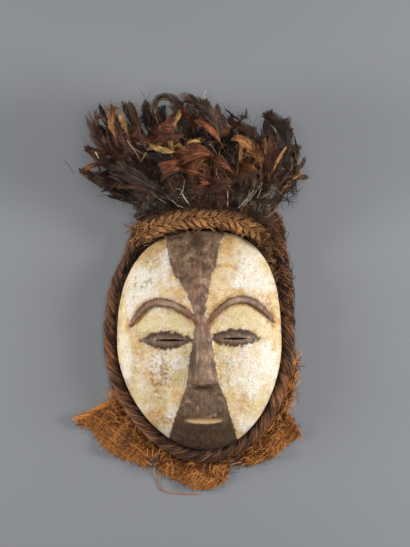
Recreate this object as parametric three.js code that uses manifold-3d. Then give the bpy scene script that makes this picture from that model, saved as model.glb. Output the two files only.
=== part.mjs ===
// A Galoa dance mask from Gabon, lying on its back: a hollow wooden face coated in kaolin,
// a fibre rope round its rim, a plait over the forehead, a crest of feathers behind the
// plait, and the torn remains of a raffia ruff under the rope.
// Millimetres, +Z up out of the face, +Y towards the crest, +X to the viewer's right.
import * as THREE from "three";
import { mergeVertices } from "three/addons/utils/BufferGeometryUtils.js";
import Module from "manifold-3d";

const wasm = await Module();
wasm.setup();

const { lerp, smoothstep, degToRad } = THREE.MathUtils;

// Driving dimensions of the carved face, seen from the front
const FACE = {
  halfWidth: 103,
  halfHeight: 137.5,
  bottomPower: 1.9, // the chin is close to a plain ellipse
  topPower: 2.5, // the forehead is squarer than an ellipse
  sway: { least: -2.3, at: 15, growth: 6.5 }, // the middle line bends to the right at both ends
  edgeHeight: 22, // height of the face's edge over the floor
  rise: 46, // from that edge to the middle of the face
  domePower: 2.3,
  domeRoundness: 0.62,
};
const FOREHEAD = { at: [0, 70], spread: [62, 48], rise: 7 };
const MUZZLE = { at: [6, -92], spread: [40, 34], rise: 4 };
const HOLLOW = { wall: 13, rise: 56, domePower: 2.6, domeRoundness: 0.45, followForehead: 0.8 };
const RIM_UNDERCUT = 0.965; // the foot of the side wall, as a share of the outline

// Carved features, each side a little different, as the carver left them
const BROWS = [
  { peak: [-52.5, 50], outer: { reach: 35, drop: 29 }, inner: { reach: 55, drop: 31 }, side: -1 },
  { peak: [50, 53], outer: { reach: 41, drop: 28 }, inner: { reach: 42, drop: 31 }, side: 1 },
];
const BROW = { halfWidth: 4.2, height: 3.4, sunk: 4, tipShare: 0.35 };
const SOCKETS = [
  { at: [-46, 12], half: [43, 36] },
  { at: [48, 14], half: [42, 37] },
];
const SOCKET_DEPTH = 5.5;
const EYES = [
  { at: [-43, 0.8], slit: { at: [-37.5, 1], halfLength: 19.5 } },
  { at: [42, 4], slit: { at: [42.5, 3], halfLength: 17 } },
];
const EYE = { halfLength: 30, halfHeight: 10, rise: 3, sunk: 3, slitHalfHeight: 1.4 };
const NOSE_AXIS = 3.4;
// y of each section, its half-width at the foot and at the ridge, and its height
const NOSE = [
  { y: 26, foot: 5.5, ridge: 3, height: 0.5 },
  { y: 6, foot: 9.5, ridge: 5, height: 4 },
  { y: -10, foot: 12.5, ridge: 6.5, height: 9 },
  { y: -32, foot: 15.5, ridge: 8, height: 15 },
  { y: -48, foot: 18.5, ridge: 10.5, height: 19 },
  { y: -54, foot: 18, ridge: 9.5, height: 17 },
  { y: -57.5, foot: 15, ridge: 7.5, height: 3 },
];
const NOSE_SUNK = 6;
const MOUTH = { at: [3.8, -98.5], half: [22.5, 3.6], depth: 3.2 };

// Fibre work round the face
const FLOOR_GAP = 3.5; // the ruff's cloth passes under the rope here
const CLEAR = 0.4; // the gap left between pieces that touch
const ROPE = { radius: 8.7, offset: 8.2, strands: 3, groove: 1.2, pitch: 62, steps: 66, sides: 10 };
// Over the forehead the rope runs further out, behind the plait, and at the upper right it
// stands away from the face altogether
const ROPE_TOP = { starts: 131, full: 113, until: 74, offset: 27 };
const ROPE_SHOULDER = { until: 22, points: [[107.5, 62], [102.5, 90], [97.5, 120], [94.5, 144], [85, 158.5], [68, 161]] };
const PLAIT = { offset: 16.2, from: 118, to: 59, depth: 32, swing: 7.2, dip: 4, strand: [7.7, 5.2], turns: 3.5 };
const STRAP = { offset: 33.8, thickness: 4.5, from: 116, to: 61, low: 21.4, high: 42 };
const WAD = { fromY: 76, toY: 142, leftLimit: 62, low: 4, high: 20 };

// The crest: feathers fan out in tiers, the lower ones from the rope, the others from the strap
const CREST = {
  tiers: [
    { count: 9, height: 7, elevation: 1, lift: 6, reach: 1.0 },
    { count: 9, height: 14.5, elevation: 9, lift: 4, reach: 0.98 },
    { count: 8, height: 25, elevation: 17, lift: 3, reach: 0.93 },
    { count: 8, height: 32, elevation: 26, lift: 0, reach: 0.85 },
    { count: 6, height: 39, elevation: 36, lift: -4, reach: 0.72 },
    { count: 6, height: 44.2, elevation: 54, lift: -22, reach: 0.36 },
  ],
  roots: [114, 62], // where on the outline the first and last quill stand, in degrees
  width: [18, 24.5],
  steps: 6,
};
// Which way the feathers point and how far they reach, from the crest's left round to its right
const CREST_AZIMUTH = [150, 138, 121, 111, 104, 95, 89, 84, 80, 72, 58];
const CREST_REACH = [88, 128, 147, 142, 139, 136, 126, 104, 106, 135, 76];
const QUILL = { radius: 1.2, tip: 0.5 };

// The raffia ruff: [angle round the outline in degrees, reach past the outline]
const RUFF = {
  thickness: 2.4,
  pieces: {
    raffia_cloth_left: [
      [214.5, 19], [216.5, 42], [218.4, 80], [221, 71], [224.5, 66], [229, 66], [234, 66], [238.5, 62],
      [242, 55], [246, 51], [249, 49],
    ],
    raffia_cloth_bottom: [
      [251.5, 33], [254, 43], [257, 46.5], [261, 46.5], [265, 49], [269, 51], [272.5, 49.5], [276, 44], [279.5, 26],
    ],
    raffia_cloth_right: [
      [285, 38], [288, 38], [292, 44], [297, 48], [304, 51], [309.5, 59], [313, 46], [316, 32], [318.3, 20],
    ],
    raffia_cloth_side: [[319.8, 27], [323, 28], [327, 26.5], [332, 24], [337, 22.5], [343, 20], [347, 18]],
  },
  ripple: { height: 3.2, waves: 23 },
};

// A thread that lies loose at the bottom: its route, and its diameter
const THREAD = {
  diameter: 1.3,
  route: [
    [-54.5, -162.5, 5.4], [-54.8, -165.5, 4.8], [-55, -168.5, 3.8], [-55, -172, 2.5], [-54.8, -175.5, 1.4],
    [-54.3, -179, 0.9], [-53.4, -182.6, 0.8], [-51.6, -186.4, 0.8], [-48.6, -189.4, 0.8], [-44.6, -191.2, 0.8],
    [-39.5, -192.3, 0.8], [-34, -193, 0.8], [-28, -193.5, 0.8], [-21.5, -193.9, 0.8], [-15, -194.1, 0.8],
    [-8, -194.1, 0.8], [-1.3, -193.8, 0.8],
  ],
};

const MATERIALS = {
  kaolin_wood: new THREE.MeshStandardMaterial({ color: 0xd9cbab, roughness: 0.85, metalness: 0 }),
  rope_fibre: new THREE.MeshStandardMaterial({ color: 0x4a2f22, roughness: 0.9, metalness: 0 }),
  plait_fibre: new THREE.MeshStandardMaterial({ color: 0x8a5a30, roughness: 0.85, metalness: 0 }),
  feather: new THREE.MeshStandardMaterial({ color: 0x3b261c, roughness: 0.7, metalness: 0 }),
  raffia_cloth: new THREE.MeshStandardMaterial({ color: 0x9a5f30, roughness: 0.9, metalness: 0 }),
};

// A repeatable value from 0 to 1 for each whole number
function scatter(n) {
  const wide = Math.sin(n * 12.9898 + 4.1) * 43758.5453;
  return wide - Math.floor(wide);
}

// A value read off an evenly spaced list, with share from 0 to 1 along it
function along(values, share) {
  const place = THREE.MathUtils.clamp(share, 0, 1) * (values.length - 1);
  const i = Math.min(Math.floor(place), values.length - 2);
  return lerp(values[i], values[i + 1], place - i);
}

// The outline's radius in a direction: a superellipse, squarer over the forehead
function outlineRadius(angle) {
  const [c, s] = [Math.abs(Math.cos(angle)), Math.sin(angle)];
  const power = lerp(FACE.bottomPower, FACE.topPower, smoothstep(s, -0.5, 0.7));
  const sum = (c / FACE.halfWidth) ** power + (Math.abs(s) / FACE.halfHeight) ** power;
  return sum ** (-1 / power);
}

// The middle line of the face bends to the right at the forehead and at the chin
function swayAt(y) {
  const { least, at, growth } = FACE.sway;
  return least + growth * ((y - at) / FACE.halfHeight) ** 2;
}

// A point of the outline scaled by share and moved out along its normal by offset
function outlinePoint(angle, share = 1, offset = 0) {
  const at = (a) => {
    const r = outlineRadius(a);
    const y = r * Math.sin(a);
    return new THREE.Vector2(r * Math.cos(a) + swayAt(y), y);
  };
  const step = 1e-3;
  const tangent = at(angle + step).sub(at(angle - step)).normalize();
  const normal = new THREE.Vector2(tangent.y, -tangent.x);
  return at(angle).multiplyScalar(share).addScaledVector(normal, offset);
}

// How far out a point lies: 0 in the middle, 1 on the outline
function outwardShare(x, y) {
  const plainX = x - swayAt(y);
  return Math.hypot(plainX, y) / outlineRadius(Math.atan2(y, plainX));
}

function bump({ at, spread, rise }, x, y) {
  return rise * Math.exp(-(((x - at[0]) / spread[0]) ** 2) - ((y - at[1]) / spread[1]) ** 2);
}

// Height of the face before its features are carved
function faceHeight(x, y) {
  const out = Math.min(outwardShare(x, y), 1);
  const dome = FACE.rise * (1 - out ** FACE.domePower) ** FACE.domeRoundness;
  const fade = 1 - out ** 6;
  return FACE.edgeHeight + dome + fade * (bump(FOREHEAD, x, y) + bump(MUZZLE, x, y));
}

// Depth of the hollow at share of the way out to the hollow's own edge
function hollowHeight(x, y, share) {
  const dome = HOLLOW.rise * (1 - share ** HOLLOW.domePower) ** HOLLOW.domeRoundness;
  return dome + (1 - share ** 4) * HOLLOW.followForehead * bump(FOREHEAD, x, y);
}

function geometryOf(points, triangles) {
  const geometry = new THREE.BufferGeometry();
  geometry.setAttribute("position", new THREE.Float32BufferAttribute(points.flat(), 3));
  geometry.setIndex(triangles.flat());
  return geometry;
}

// Joins rings of equal length into one closed skin. Each ring is a list of [x, y, z], and
// the first and last close on a point, or on each other where the skin is a loop.
function skin(rings, { loop = false, firstPole, lastPole } = {}) {
  const n = rings[0].length;
  const points = rings.flat();
  const triangles = [];
  const bands = loop ? rings.length : rings.length - 1;
  for (let r = 0; r < bands; r++) {
    const next = (r + 1) % rings.length;
    for (let i = 0; i < n; i++) {
      const [a, b] = [r * n + i, r * n + ((i + 1) % n)];
      const [c, d] = [next * n + i, next * n + ((i + 1) % n)];
      triangles.push([a, b, d], [a, d, c]);
    }
  }
  const capped = (pole, ring, flip) => {
    const tip = points.push(pole) - 1;
    for (let i = 0; i < n; i++) {
      const [a, b] = [ring * n + i, ring * n + ((i + 1) % n)];
      triangles.push(flip ? [tip, b, a] : [tip, a, b]);
    }
  };
  if (!loop) {
    capped(firstPole ?? middle(rings[0]), 0, true);
    capped(lastPole ?? middle(rings[rings.length - 1]), rings.length - 1, false);
  }
  return geometryOf(points, triangles);
}

function middle(ring) {
  return [0, 1, 2].map((k) => ring.reduce((sum, p) => sum + p[k], 0) / ring.length);
}

// A three.js geometry as a solid that can be joined and cut, turned the right way out
function solid(geometry) {
  const bare = geometry.index ? geometry.toNonIndexed() : geometry.clone();
  bare.deleteAttribute("normal");
  bare.deleteAttribute("uv");
  const merged = mergeVertices(bare, 1e-4);
  const make = (triVerts) =>
    new wasm.Manifold(
      new wasm.Mesh({ numProp: 3, vertProperties: merged.attributes.position.array, triVerts }),
    );
  const made = make(new Uint32Array(merged.index.array));
  return made.volume() < 0 ? make(new Uint32Array(merged.index.array).reverse()) : made;
}

function geometryFrom(manifold) {
  const { numProp, numVert, vertProperties, triVerts } = manifold.getMesh();
  const positions = new Float32Array(numVert * 3);
  for (let i = 0; i < numVert; i++) {
    positions.set(vertProperties.subarray(i * numProp, i * numProp + 3), i * 3);
  }
  const geometry = new THREE.BufferGeometry();
  geometry.setAttribute("position", new THREE.BufferAttribute(positions, 3));
  geometry.setIndex(new THREE.BufferAttribute(new Uint32Array(triVerts), 1));
  return geometry;
}

// A closed solid over a flat plan: rings shrink from the plan's edge to its middle on the
// top surface, and grow out again on the bottom one
function pad(plan, top, bottom, rings, spokes) {
  const ringAt = (share, height) =>
    Array.from({ length: spokes }, (_, i) => {
      const [x, y] = plan(share, (i / spokes) * 2 * Math.PI);
      return [x, y, height(x, y, share)];
    });
  const shares = Array.from({ length: rings }, (_, i) => (i + 1) / rings);
  const up = shares.map((share) => ringAt(share, top));
  const down = shares.toReversed().map((share) => ringAt(share, bottom));
  const [x, y] = plan(0, 0);
  return solid(skin([...up, ...down], { firstPole: [x, y, top(x, y, 0)], lastPole: [x, y, bottom(x, y, 0)] }));
}

function ellipsePlan(at, half) {
  return (share, t) => [at[0] + half[0] * share * Math.cos(t), at[1] + half[1] * share * Math.sin(t)];
}

// The almond of an eye: an ellipse whose ends run out to points
function almondPlan(at, halfLength, halfHeight) {
  return (share, t) => {
    const narrowing = Math.abs(Math.sin(t)) ** 0.6;
    return [at[0] + halfLength * share * Math.cos(t), at[1] + halfHeight * share * Math.sin(t) * narrowing];
  };
}

// The wooden bowl: front surface, side wall, flat rim on the floor, and the hollow
function bowl() {
  const [spokes, frontRings, hollowRings] = [48, 9, 6];
  const angles = Array.from({ length: spokes }, (_, i) => (i / spokes) * 2 * Math.PI);
  const front = Array.from({ length: frontRings }, (_, i) => {
    const share = 1 - (1 - (i + 1) / frontRings) ** 1.35; // closer together near the steep edge
    return angles.map((a) => {
      const { x, y } = outlinePoint(a, share);
      return [x, y, faceHeight(x, y)];
    });
  });
  const foot = angles.map((a) => {
    const { x, y } = outlinePoint(a, RIM_UNDERCUT);
    return [x, y, 0];
  });
  const hollow = Array.from({ length: hollowRings }, (_, i) => {
    const share = ((hollowRings - i) / hollowRings) ** 0.7;
    return angles.map((a) => {
      const edge = outlinePoint(a, 1, -HOLLOW.wall);
      return [edge.x * share, edge.y * share, hollowHeight(edge.x * share, edge.y * share, share)];
    });
  });
  return solid(
    skin([...front, foot, ...hollow], {
      firstPole: [0, 0, faceHeight(0, 0)],
      lastPole: [0, 0, hollowHeight(0, 0, 0)],
    }),
  );
}

// Under each brow the face is cut back, deepest just below the brow
function socketFloor({ at, half }, x, y) {
  const out = Math.min(Math.hypot((x - at[0]) / half[0], (y - at[1]) / half[1]), 1);
  const upper = smoothstep((y - at[1]) / half[1], -0.8, 0.6);
  return faceHeight(x, y) - SOCKET_DEPTH * upper * Math.sqrt(1 - out ** 4);
}

function socketCut(socket) {
  const edge = 0.15; // the cut starts just above the face, so the two skins cross cleanly
  return pad(
    ellipsePlan(socket.at, socket.half),
    (x, y) => faceHeight(x, y) + 12,
    (x, y, share) => socketFloor(socket, x, y) + edge * share ** 8,
    5,
    24,
  );
}

// A brow's line in plan: two half parabolas that meet at its peak
function browPoint(brow, share) {
  const run = lerp(brow.inner.reach, -brow.outer.reach, share);
  const half = run > 0 ? brow.inner : brow.outer;
  const x = brow.peak[0] - brow.side * run;
  return [x, brow.peak[1] - half.drop * (run / half.reach) ** 2];
}

function browRidge(brow) {
  const [steps, sides] = [13, 6];
  const rings = Array.from({ length: steps + 1 }, (_, i) => {
    const share = i / steps;
    const [x, y] = browPoint(brow, share);
    const [x1, y1] = browPoint(brow, share + 0.01);
    const across = new THREE.Vector2(y1 - y, x - x1).normalize();
    const taper = lerp(BROW.tipShare, 1, Math.sin(Math.PI * share) ** 0.6);
    return Array.from({ length: sides }, (_, k) => {
      const a = (k / sides) * 2 * Math.PI;
      const out = Math.cos(a) * BROW.halfWidth * taper;
      const up = Math.sin(a) > 0 ? Math.sin(a) * BROW.height * taper : Math.sin(a) * BROW.sunk;
      const [px, py] = [x + across.x * out, y + across.y * out];
      return [px, py, faceHeight(px, py) + up];
    });
  });
  return solid(skin(rings));
}

function nose() {
  const rings = NOSE.map(({ y, foot, ridge, height }) => {
    const base = faceHeight(NOSE_AXIS, y);
    const profile = [
      [-foot, -NOSE_SUNK], [-foot, 0], [-lerp(foot, ridge, 0.75), height * 0.72], [-ridge * 0.75, height],
      [ridge * 0.75, height], [lerp(foot, ridge, 0.75), height * 0.72], [foot, 0], [foot, -NOSE_SUNK],
    ];
    return profile.map(([x, z]) => [NOSE_AXIS + x, y, base + z]);
  });
  return solid(skin(rings));
}

function eyeMound(eye, socket) {
  return pad(
    almondPlan(eye.at, EYE.halfLength, EYE.halfHeight),
    (x, y, share) => socketFloor(socket, x, y) + EYE.rise * (1 - share ** 2.5) + 0.3,
    (x, y) => socketFloor(socket, x, y) - EYE.sunk,
    3,
    20,
  );
}

function eyeSlit({ slit }) {
  const lens = new THREE.Shape();
  lens.moveTo(slit.at[0] - slit.halfLength, slit.at[1]);
  lens.quadraticCurveTo(slit.at[0], slit.at[1] - 2 * EYE.slitHalfHeight, slit.at[0] + slit.halfLength, slit.at[1]);
  lens.quadraticCurveTo(slit.at[0], slit.at[1] + 2 * EYE.slitHalfHeight, slit.at[0] - slit.halfLength, slit.at[1]);
  const cut = new THREE.ExtrudeGeometry(lens, { depth: 60, curveSegments: 8, bevelEnabled: false });
  return solid(cut.translate(0, 0, 35));
}

function mouthCut() {
  return pad(
    ellipsePlan(MOUTH.at, MOUTH.half),
    (x, y) => faceHeight(x, y) + 6,
    (x, y, share) => faceHeight(x, y) - MOUTH.depth * (1 - share ** 2) + 0.1 * share ** 6,
    2,
    16,
  );
}

function carvedFace() {
  let face = bowl();
  for (const socket of SOCKETS) face = face.subtract(socketCut(socket));
  for (const brow of BROWS) face = face.add(browRidge(brow));
  face = face.add(nose());
  EYES.forEach((eye, i) => {
    face = face.add(eyeMound(eye, SOCKETS[i])).subtract(eyeSlit(eye));
  });
  return geometryFrom(face.subtract(mouthCut()));
}

// The rope's centre line in plan: along the outline, a little further out behind the plait,
// and over the shoulder at the upper right, where it stands away from the face
function ropePath() {
  const points = [];
  const height = FLOOR_GAP + ROPE.radius;
  const count = 32;
  for (let i = 0; i <= count; i++) {
    const degrees = lerp(ROPE_TOP.until, 360 + ROPE_SHOULDER.until, i / count);
    const behindPlait = 1 - smoothstep(degrees, ROPE_TOP.full, ROPE_TOP.starts);
    const { x, y } = outlinePoint(degToRad(degrees), 1, lerp(ROPE.offset, ROPE_TOP.offset, behindPlait));
    points.push(new THREE.Vector3(x, y, height));
  }
  for (const [x, y] of ROPE_SHOULDER.points) points.push(new THREE.Vector3(x, y, height));
  return new THREE.CatmullRomCurve3(points, true, "centripetal");
}

// A closed rope: the section's lobes turn about the centre line as it runs
function rimRope() {
  const path = ropePath();
  const turns = Math.round(path.getLength() / ROPE.pitch);
  const rings = Array.from({ length: ROPE.steps }, (_, i) => {
    const share = i / ROPE.steps;
    const centre = path.getPointAt(share);
    const tangent = path.getTangentAt(share);
    const out = new THREE.Vector3(tangent.y, -tangent.x, 0);
    return Array.from({ length: ROPE.sides }, (_, k) => {
      const a = (k / ROPE.sides) * 2 * Math.PI;
      const lobe = Math.abs(Math.sin((ROPE.strands * (a - share * turns * 2 * Math.PI)) / 2));
      const r = ROPE.radius - ROPE.groove * (1 - lobe);
      return [
        centre.x + out.x * r * Math.cos(a),
        centre.y + out.y * r * Math.cos(a),
        centre.z + r * Math.sin(a),
      ];
    });
  });
  return geometryFrom(solid(skin(rings, { loop: true })));
}

// Three strands that swing from side to side and over and under each other
function foreheadPlait() {
  const [steps, sides] = [21, 5];
  const strands = [0, 1, 2].map((k) => {
    const rings = Array.from({ length: steps + 1 }, (_, i) => {
      const share = i / steps;
      const phase = 2 * Math.PI * (PLAIT.turns * share + k / 3);
      const angle = degToRad(lerp(PLAIT.from, PLAIT.to, share));
      const ends = Math.sin(Math.PI * share) ** 0.35;
      const swing = PLAIT.swing * lerp(0.45, 1, ends);
      const thickness = lerp(0.6, 1, ends);
      const rise = PLAIT.dip * Math.sin(2 * phase);
      return Array.from({ length: sides }, (_, j) => {
        const a = (j / sides) * 2 * Math.PI;
        const across = swing * Math.sin(phase) + PLAIT.strand[0] * thickness * Math.cos(a);
        const { x, y } = outlinePoint(angle, 1, PLAIT.offset + across);
        return [x, y, PLAIT.depth + rise + PLAIT.strand[1] * thickness * Math.sin(a)];
      });
    });
    return solid(skin(rings));
  });
  // where the strands cross they close off specks of air, which are filled by keeping the skin
  const shells = strands[0].add(strands[1]).add(strands[2]).decompose();
  return geometryFrom(shells.toSorted((a, b) => b.volume() - a.volume())[0]);
}

// A band that follows the outline between two offsets and two heights
function band(from, to, inner, outer, low, high, steps) {
  const rings = Array.from({ length: steps + 1 }, (_, i) => {
    const angle = degToRad(lerp(from, to, i / steps));
    const [a, b] = [outlinePoint(angle, 1, inner), outlinePoint(angle, 1, outer)];
    return [[a.x, a.y, low], [b.x, b.y, low], [b.x, b.y, high], [a.x, a.y, high]];
  });
  return geometryFrom(solid(skin(rings)));
}

// The matted fibre fills the corner between the face's edge and the rope's shoulder
function fibreWad() {
  const rows = 9;
  const path = ropePath();
  const ropeSamples = path.getSpacedPoints(400);
  const edgeX = (y) => {
    let x = 0;
    while (outwardShare(x, y) < 1) x += 0.25;
    return x + 1.2;
  };
  const ropeX = (y) => {
    const near = ropeSamples.filter((p) => p.x > 60 && Math.abs(p.y - y) < 2.5);
    return Math.min(...near.map((p) => p.x)) - ROPE.radius - 1.6;
  };
  const rings = Array.from({ length: rows }, (_, i) => {
    const y = lerp(WAD.fromY, WAD.toY, i / (rows - 1));
    const left = Math.max(edgeX(y), WAD.leftLimit);
    const right = Math.max(ropeX(y), left + 1.5);
    const crown = WAD.high - 3 * Math.abs((2 * i) / (rows - 1) - 1) ** 3;
    return [
      [left, y, WAD.low], [right, y, WAD.low], [right, y, crown - 4],
      [lerp(left, right, 0.7), y, crown], [lerp(left, right, 0.3), y, crown], [left, y, crown - 4],
    ];
  });
  return geometryFrom(solid(skin(rings)));
}

// One scrap of the ruff: it starts against the wood under the rope and ripples outside it
function ruffPiece(stations) {
  const shares = [0, 0.34, 0.56, 0.78, 1];
  const rings = stations.map(([degrees, reach]) => {
    const angle = degToRad(degrees);
    const sheet = shares.map((share) => {
      const offset = lerp(-2.2, reach, share);
      const free = smoothstep(offset, 17.5, 34);
      const ripple = RUFF.ripple.height * (1 + Math.sin(RUFF.ripple.waves * angle + 2 * share));
      const { x, y } = outlinePoint(angle, 1, offset);
      return [x, y, 0.5 + free * ripple];
    });
    const over = sheet.map(([x, y, z]) => [x, y, z + RUFF.thickness]).toReversed();
    return [...sheet, ...over];
  });
  return geometryFrom(solid(skin(rings)));
}

function looseThread() {
  const route = new THREE.CatmullRomCurve3(THREAD.route.map((p) => new THREE.Vector3(...p)));
  const section = new THREE.Shape();
  section.absarc(0, 0, THREAD.diameter / 2, 0, 2 * Math.PI);
  return new THREE.ExtrudeGeometry(section, { extrudePath: route, steps: 20, curveSegments: 3 });
}

// Where a quill starts: on the rope's outer side up to its top, then on the strap
function quillRoot(angle, height) {
  const gap = QUILL.tip + CLEAR;
  if (height > STRAP.high) return outlinePoint(angle, 1, STRAP.offset);
  if (height > STRAP.low) return outlinePoint(angle, 1, STRAP.offset + STRAP.thickness / 2 + gap);
  const samples = ropePath().getSpacedPoints(600);
  const off = (p) => Math.abs(Math.atan2(p.y, p.x) - angle);
  const i = samples.findIndex((p) => off(p) === Math.min(...samples.map(off)));
  const tangent = samples[(i + 1) % 600].clone().sub(samples[i]).normalize();
  const over = height - FLOOR_GAP - ROPE.radius;
  const out = Math.sqrt(ROPE.radius ** 2 - over ** 2) + gap;
  return new THREE.Vector2(samples[i].x + tangent.y * out, samples[i].y - tangent.x * out);
}

// The facts of one feather, from its tier and its place across the fan
function featherFacts(tier, tierIndex, index) {
  const seed = tierIndex * 20 + index;
  const stagger = tierIndex % 2 ? 0.5 : 0;
  const share = (index + 0.25 + stagger) / tier.count;
  const height = tier.height + 1.6 * (scatter(seed + 3) - 0.5);
  const root = quillRoot(degToRad(lerp(...CREST.roots, share)), height);
  const reach = along(CREST_REACH, share) * tier.reach * lerp(0.9, 1.04, scatter(seed + 7));
  const bend = 22 * (0.5 - share) + 7 * (scatter(seed + 11) - 0.5);
  return {
    root: new THREE.Vector3(root.x, root.y, height),
    azimuth: degToRad(along(CREST_AZIMUTH, share) - 0.4 * bend + 4 * (scatter(seed) - 0.5)),
    elevation: degToRad(tier.elevation),
    lift: degToRad(tier.lift),
    bend: degToRad(bend),
    roll: degToRad(24 * (scatter(seed + 13) - 0.5)),
    length: reach / Math.cos(degToRad(tier.elevation)),
    width: lerp(...CREST.width, scatter(seed + 17)),
  };
}

// Half the vane's width along a feather: a bare quill, then a blade with a round tip
function vaneShare(s) {
  const blade = THREE.MathUtils.clamp((s - 0.16) / 0.84, 0, 1);
  return smoothstep(blade, 0, 0.35) * Math.sqrt(Math.max(0, 1 - blade ** 3.2));
}

function feather(facts) {
  const at = facts.root.clone();
  const step = facts.length / CREST.steps;
  const rings = [];
  for (let i = 0; i <= CREST.steps; i++) {
    const s = i / CREST.steps;
    const azimuth = facts.azimuth + facts.bend * s ** 1.5;
    const elevation = facts.elevation + facts.lift * s;
    const ahead = new THREE.Vector3(
      Math.cos(azimuth) * Math.cos(elevation),
      Math.sin(azimuth) * Math.cos(elevation),
      Math.sin(elevation),
    );
    const side = new THREE.Vector3(Math.sin(azimuth), -Math.cos(azimuth), 0).applyAxisAngle(ahead, facts.roll);
    const up = side.clone().cross(ahead);
    const shaft = i ? QUILL.radius * lerp(1, 0.45, s) : QUILL.tip;
    const half = Math.max(shaft, (facts.width / 2) * vaneShare(s));
    const droop = -0.14 * (half - shaft);
    const corner = (across, over) => at.clone().addScaledVector(side, across).addScaledVector(up, over).toArray();
    rings.push([corner(-half, droop), corner(0, -shaft), corner(half, droop), corner(0, shaft)]);
    at.addScaledVector(ahead, step);
  }
  return geometryFrom(solid(skin(rings)));
}

function named(name, geometry, material) {
  const mesh = new THREE.Mesh(geometry, MATERIALS[material]);
  mesh.name = name;
  return mesh;
}

const mask = new THREE.Group();
mask.add(named("carved_face", carvedFace(), "kaolin_wood"));
mask.add(named("rim_rope", rimRope(), "rope_fibre"));
mask.add(named("forehead_plait", foreheadPlait(), "plait_fibre"));
const strap = band(
  STRAP.from, STRAP.to,
  STRAP.offset - STRAP.thickness / 2, STRAP.offset + STRAP.thickness / 2,
  STRAP.low, STRAP.high, 14,
);
mask.add(named("feather_strap", strap, "plait_fibre"));
mask.add(named("fibre_wad", fibreWad(), "rope_fibre"));
for (const [name, stations] of Object.entries(RUFF.pieces)) {
  mask.add(named(name, ruffPiece(stations), "raffia_cloth"));
}
CREST.tiers.forEach((tier, t) => {
  for (let i = 0; i < tier.count; i++) {
    mask.add(named(`feather_${t + 1}_${i + 1}`, feather(featherFacts(tier, t, i)), "feather"));
  }
});

// The origin is on the floor, in the middle of the whole mask's footprint
const box = new THREE.Box3().setFromObject(mask);
const footprint = box.getCenter(new THREE.Vector3()).setZ(box.min.z);
mask.add(named("loose_thread", looseThread(), "raffia_cloth"));
mask.position.copy(footprint).negate();

const part = new THREE.Group();
part.add(mask);
export default part;
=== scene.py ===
"""A Galoa dance mask, dressed over its packed construction and laid on a plain pale floor.

Every shape is worked out in millimetres from the middle of the face's outline, with +X to the
viewer's right, +Y towards the feather crest and +Z up out of the face, and is set in the row
frame when its mesh is made.
"""

from types import SimpleNamespace as Sizes

import bpy
import numpy as np
from bpy.props import FloatProperty, FloatVectorProperty, IntProperty, PointerProperty
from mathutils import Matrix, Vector
from numpy import clip, cos, maximum, pi, radians, sin, where
from numpy.random import default_rng


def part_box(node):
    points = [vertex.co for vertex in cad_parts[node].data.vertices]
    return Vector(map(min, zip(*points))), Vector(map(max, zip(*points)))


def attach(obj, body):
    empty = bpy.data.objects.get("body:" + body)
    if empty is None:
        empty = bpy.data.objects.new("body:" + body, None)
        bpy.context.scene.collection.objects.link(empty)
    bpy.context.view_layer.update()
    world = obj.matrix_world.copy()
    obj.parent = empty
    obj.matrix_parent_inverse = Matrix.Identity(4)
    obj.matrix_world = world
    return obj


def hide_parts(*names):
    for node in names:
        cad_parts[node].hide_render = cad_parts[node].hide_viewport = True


bl_info = {
    "name": "Galoa dance mask",
    "version": (1, 0, 0),
    "blender": (4, 5, 0),
    "location": "3D View > Sidebar > Mask",
    "description": "Makes the wood, fibre, cloth and feathers of a Galoa dance mask",
    "category": "Add Mesh",
}

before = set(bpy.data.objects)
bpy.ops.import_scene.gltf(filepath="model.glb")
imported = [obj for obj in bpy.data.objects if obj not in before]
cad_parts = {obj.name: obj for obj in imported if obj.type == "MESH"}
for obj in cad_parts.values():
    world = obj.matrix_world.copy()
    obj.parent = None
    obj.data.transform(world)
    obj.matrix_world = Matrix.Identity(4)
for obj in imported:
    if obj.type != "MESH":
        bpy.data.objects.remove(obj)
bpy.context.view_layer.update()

UP = np.array([0, 0, 1.0])
# The thin side of loose fibres, and of down and stray quills, faces this way
FIBRE_UP = (0.1, 0.2, 1)
DOWN_UP = (0.2, 0.1, 1)
# No down and no stray wisp stands higher than this
DOWN_TOP = 112

# Driving dimensions of the carved face, as in the construction
FACE = Sizes(
    half_width=103, half_height=137.5, bottom_power=1.9, top_power=2.5, edge_height=22,
    rise=46, dome_power=2.3, dome_roundness=0.62, undercut=0.965, corners=48,
)
SWAY = Sizes(least=-2.3, at=15, growth=6.5)
FOREHEAD = Sizes(at=(0, 70), spread=(62, 48), rise=7)
MUZZLE = Sizes(at=(6, -92), spread=(40, 34), rise=4)
HOLLOW = Sizes(wall=13, rise=56, power=2.6, roundness=0.45, follow=0.8, gouge=14)
BROWS = [
    Sizes(peak=(-52.5, 48), outer=(35, 29), inner=(55, 31), side=-1),
    Sizes(peak=(50, 51.5), outer=(41, 28), inner=(42, 31), side=1),
]
# The middle of a brow: where along it, and how far it spreads
BROW = Sizes(half_width=4.8, height=3.4, tip_share=0.35, stained=1.15, middle=(0.45, 0.2))
SOCKETS = [
    Sizes(at=(-46, 12), half=(43, 36)),
    Sizes(at=(48, 14), half=(42, 37)),
]
SOCKET_DEPTH = 5.5
EYES = [
    Sizes(at=(-43, 0.8), slit=(-37.5, 1), slit_half=19.5),
    Sizes(at=(42, 4), slit=(42.5, 3), slit_half=17),
]
EYE = Sizes(half_length=30, half_height=10, rise=3, slit_half_height=1.4)
NOSE_AXIS = 3.4
# y of each section, its half-width at the foot and at the ridge, and its height
NOSE = [
    (26, 5.5, 3, 0.5), (6, 9.5, 5, 4), (-10, 12.5, 6.5, 9), (-32, 15.5, 8, 15),
    (-48, 18.5, 10.5, 19), (-54, 18, 9.5, 17), (-57.5, 15, 7.5, 3),
]
MOUTH = Sizes(at=(3.8, -98.5), half=(22.5, 3.6), depth=3.2)

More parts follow.
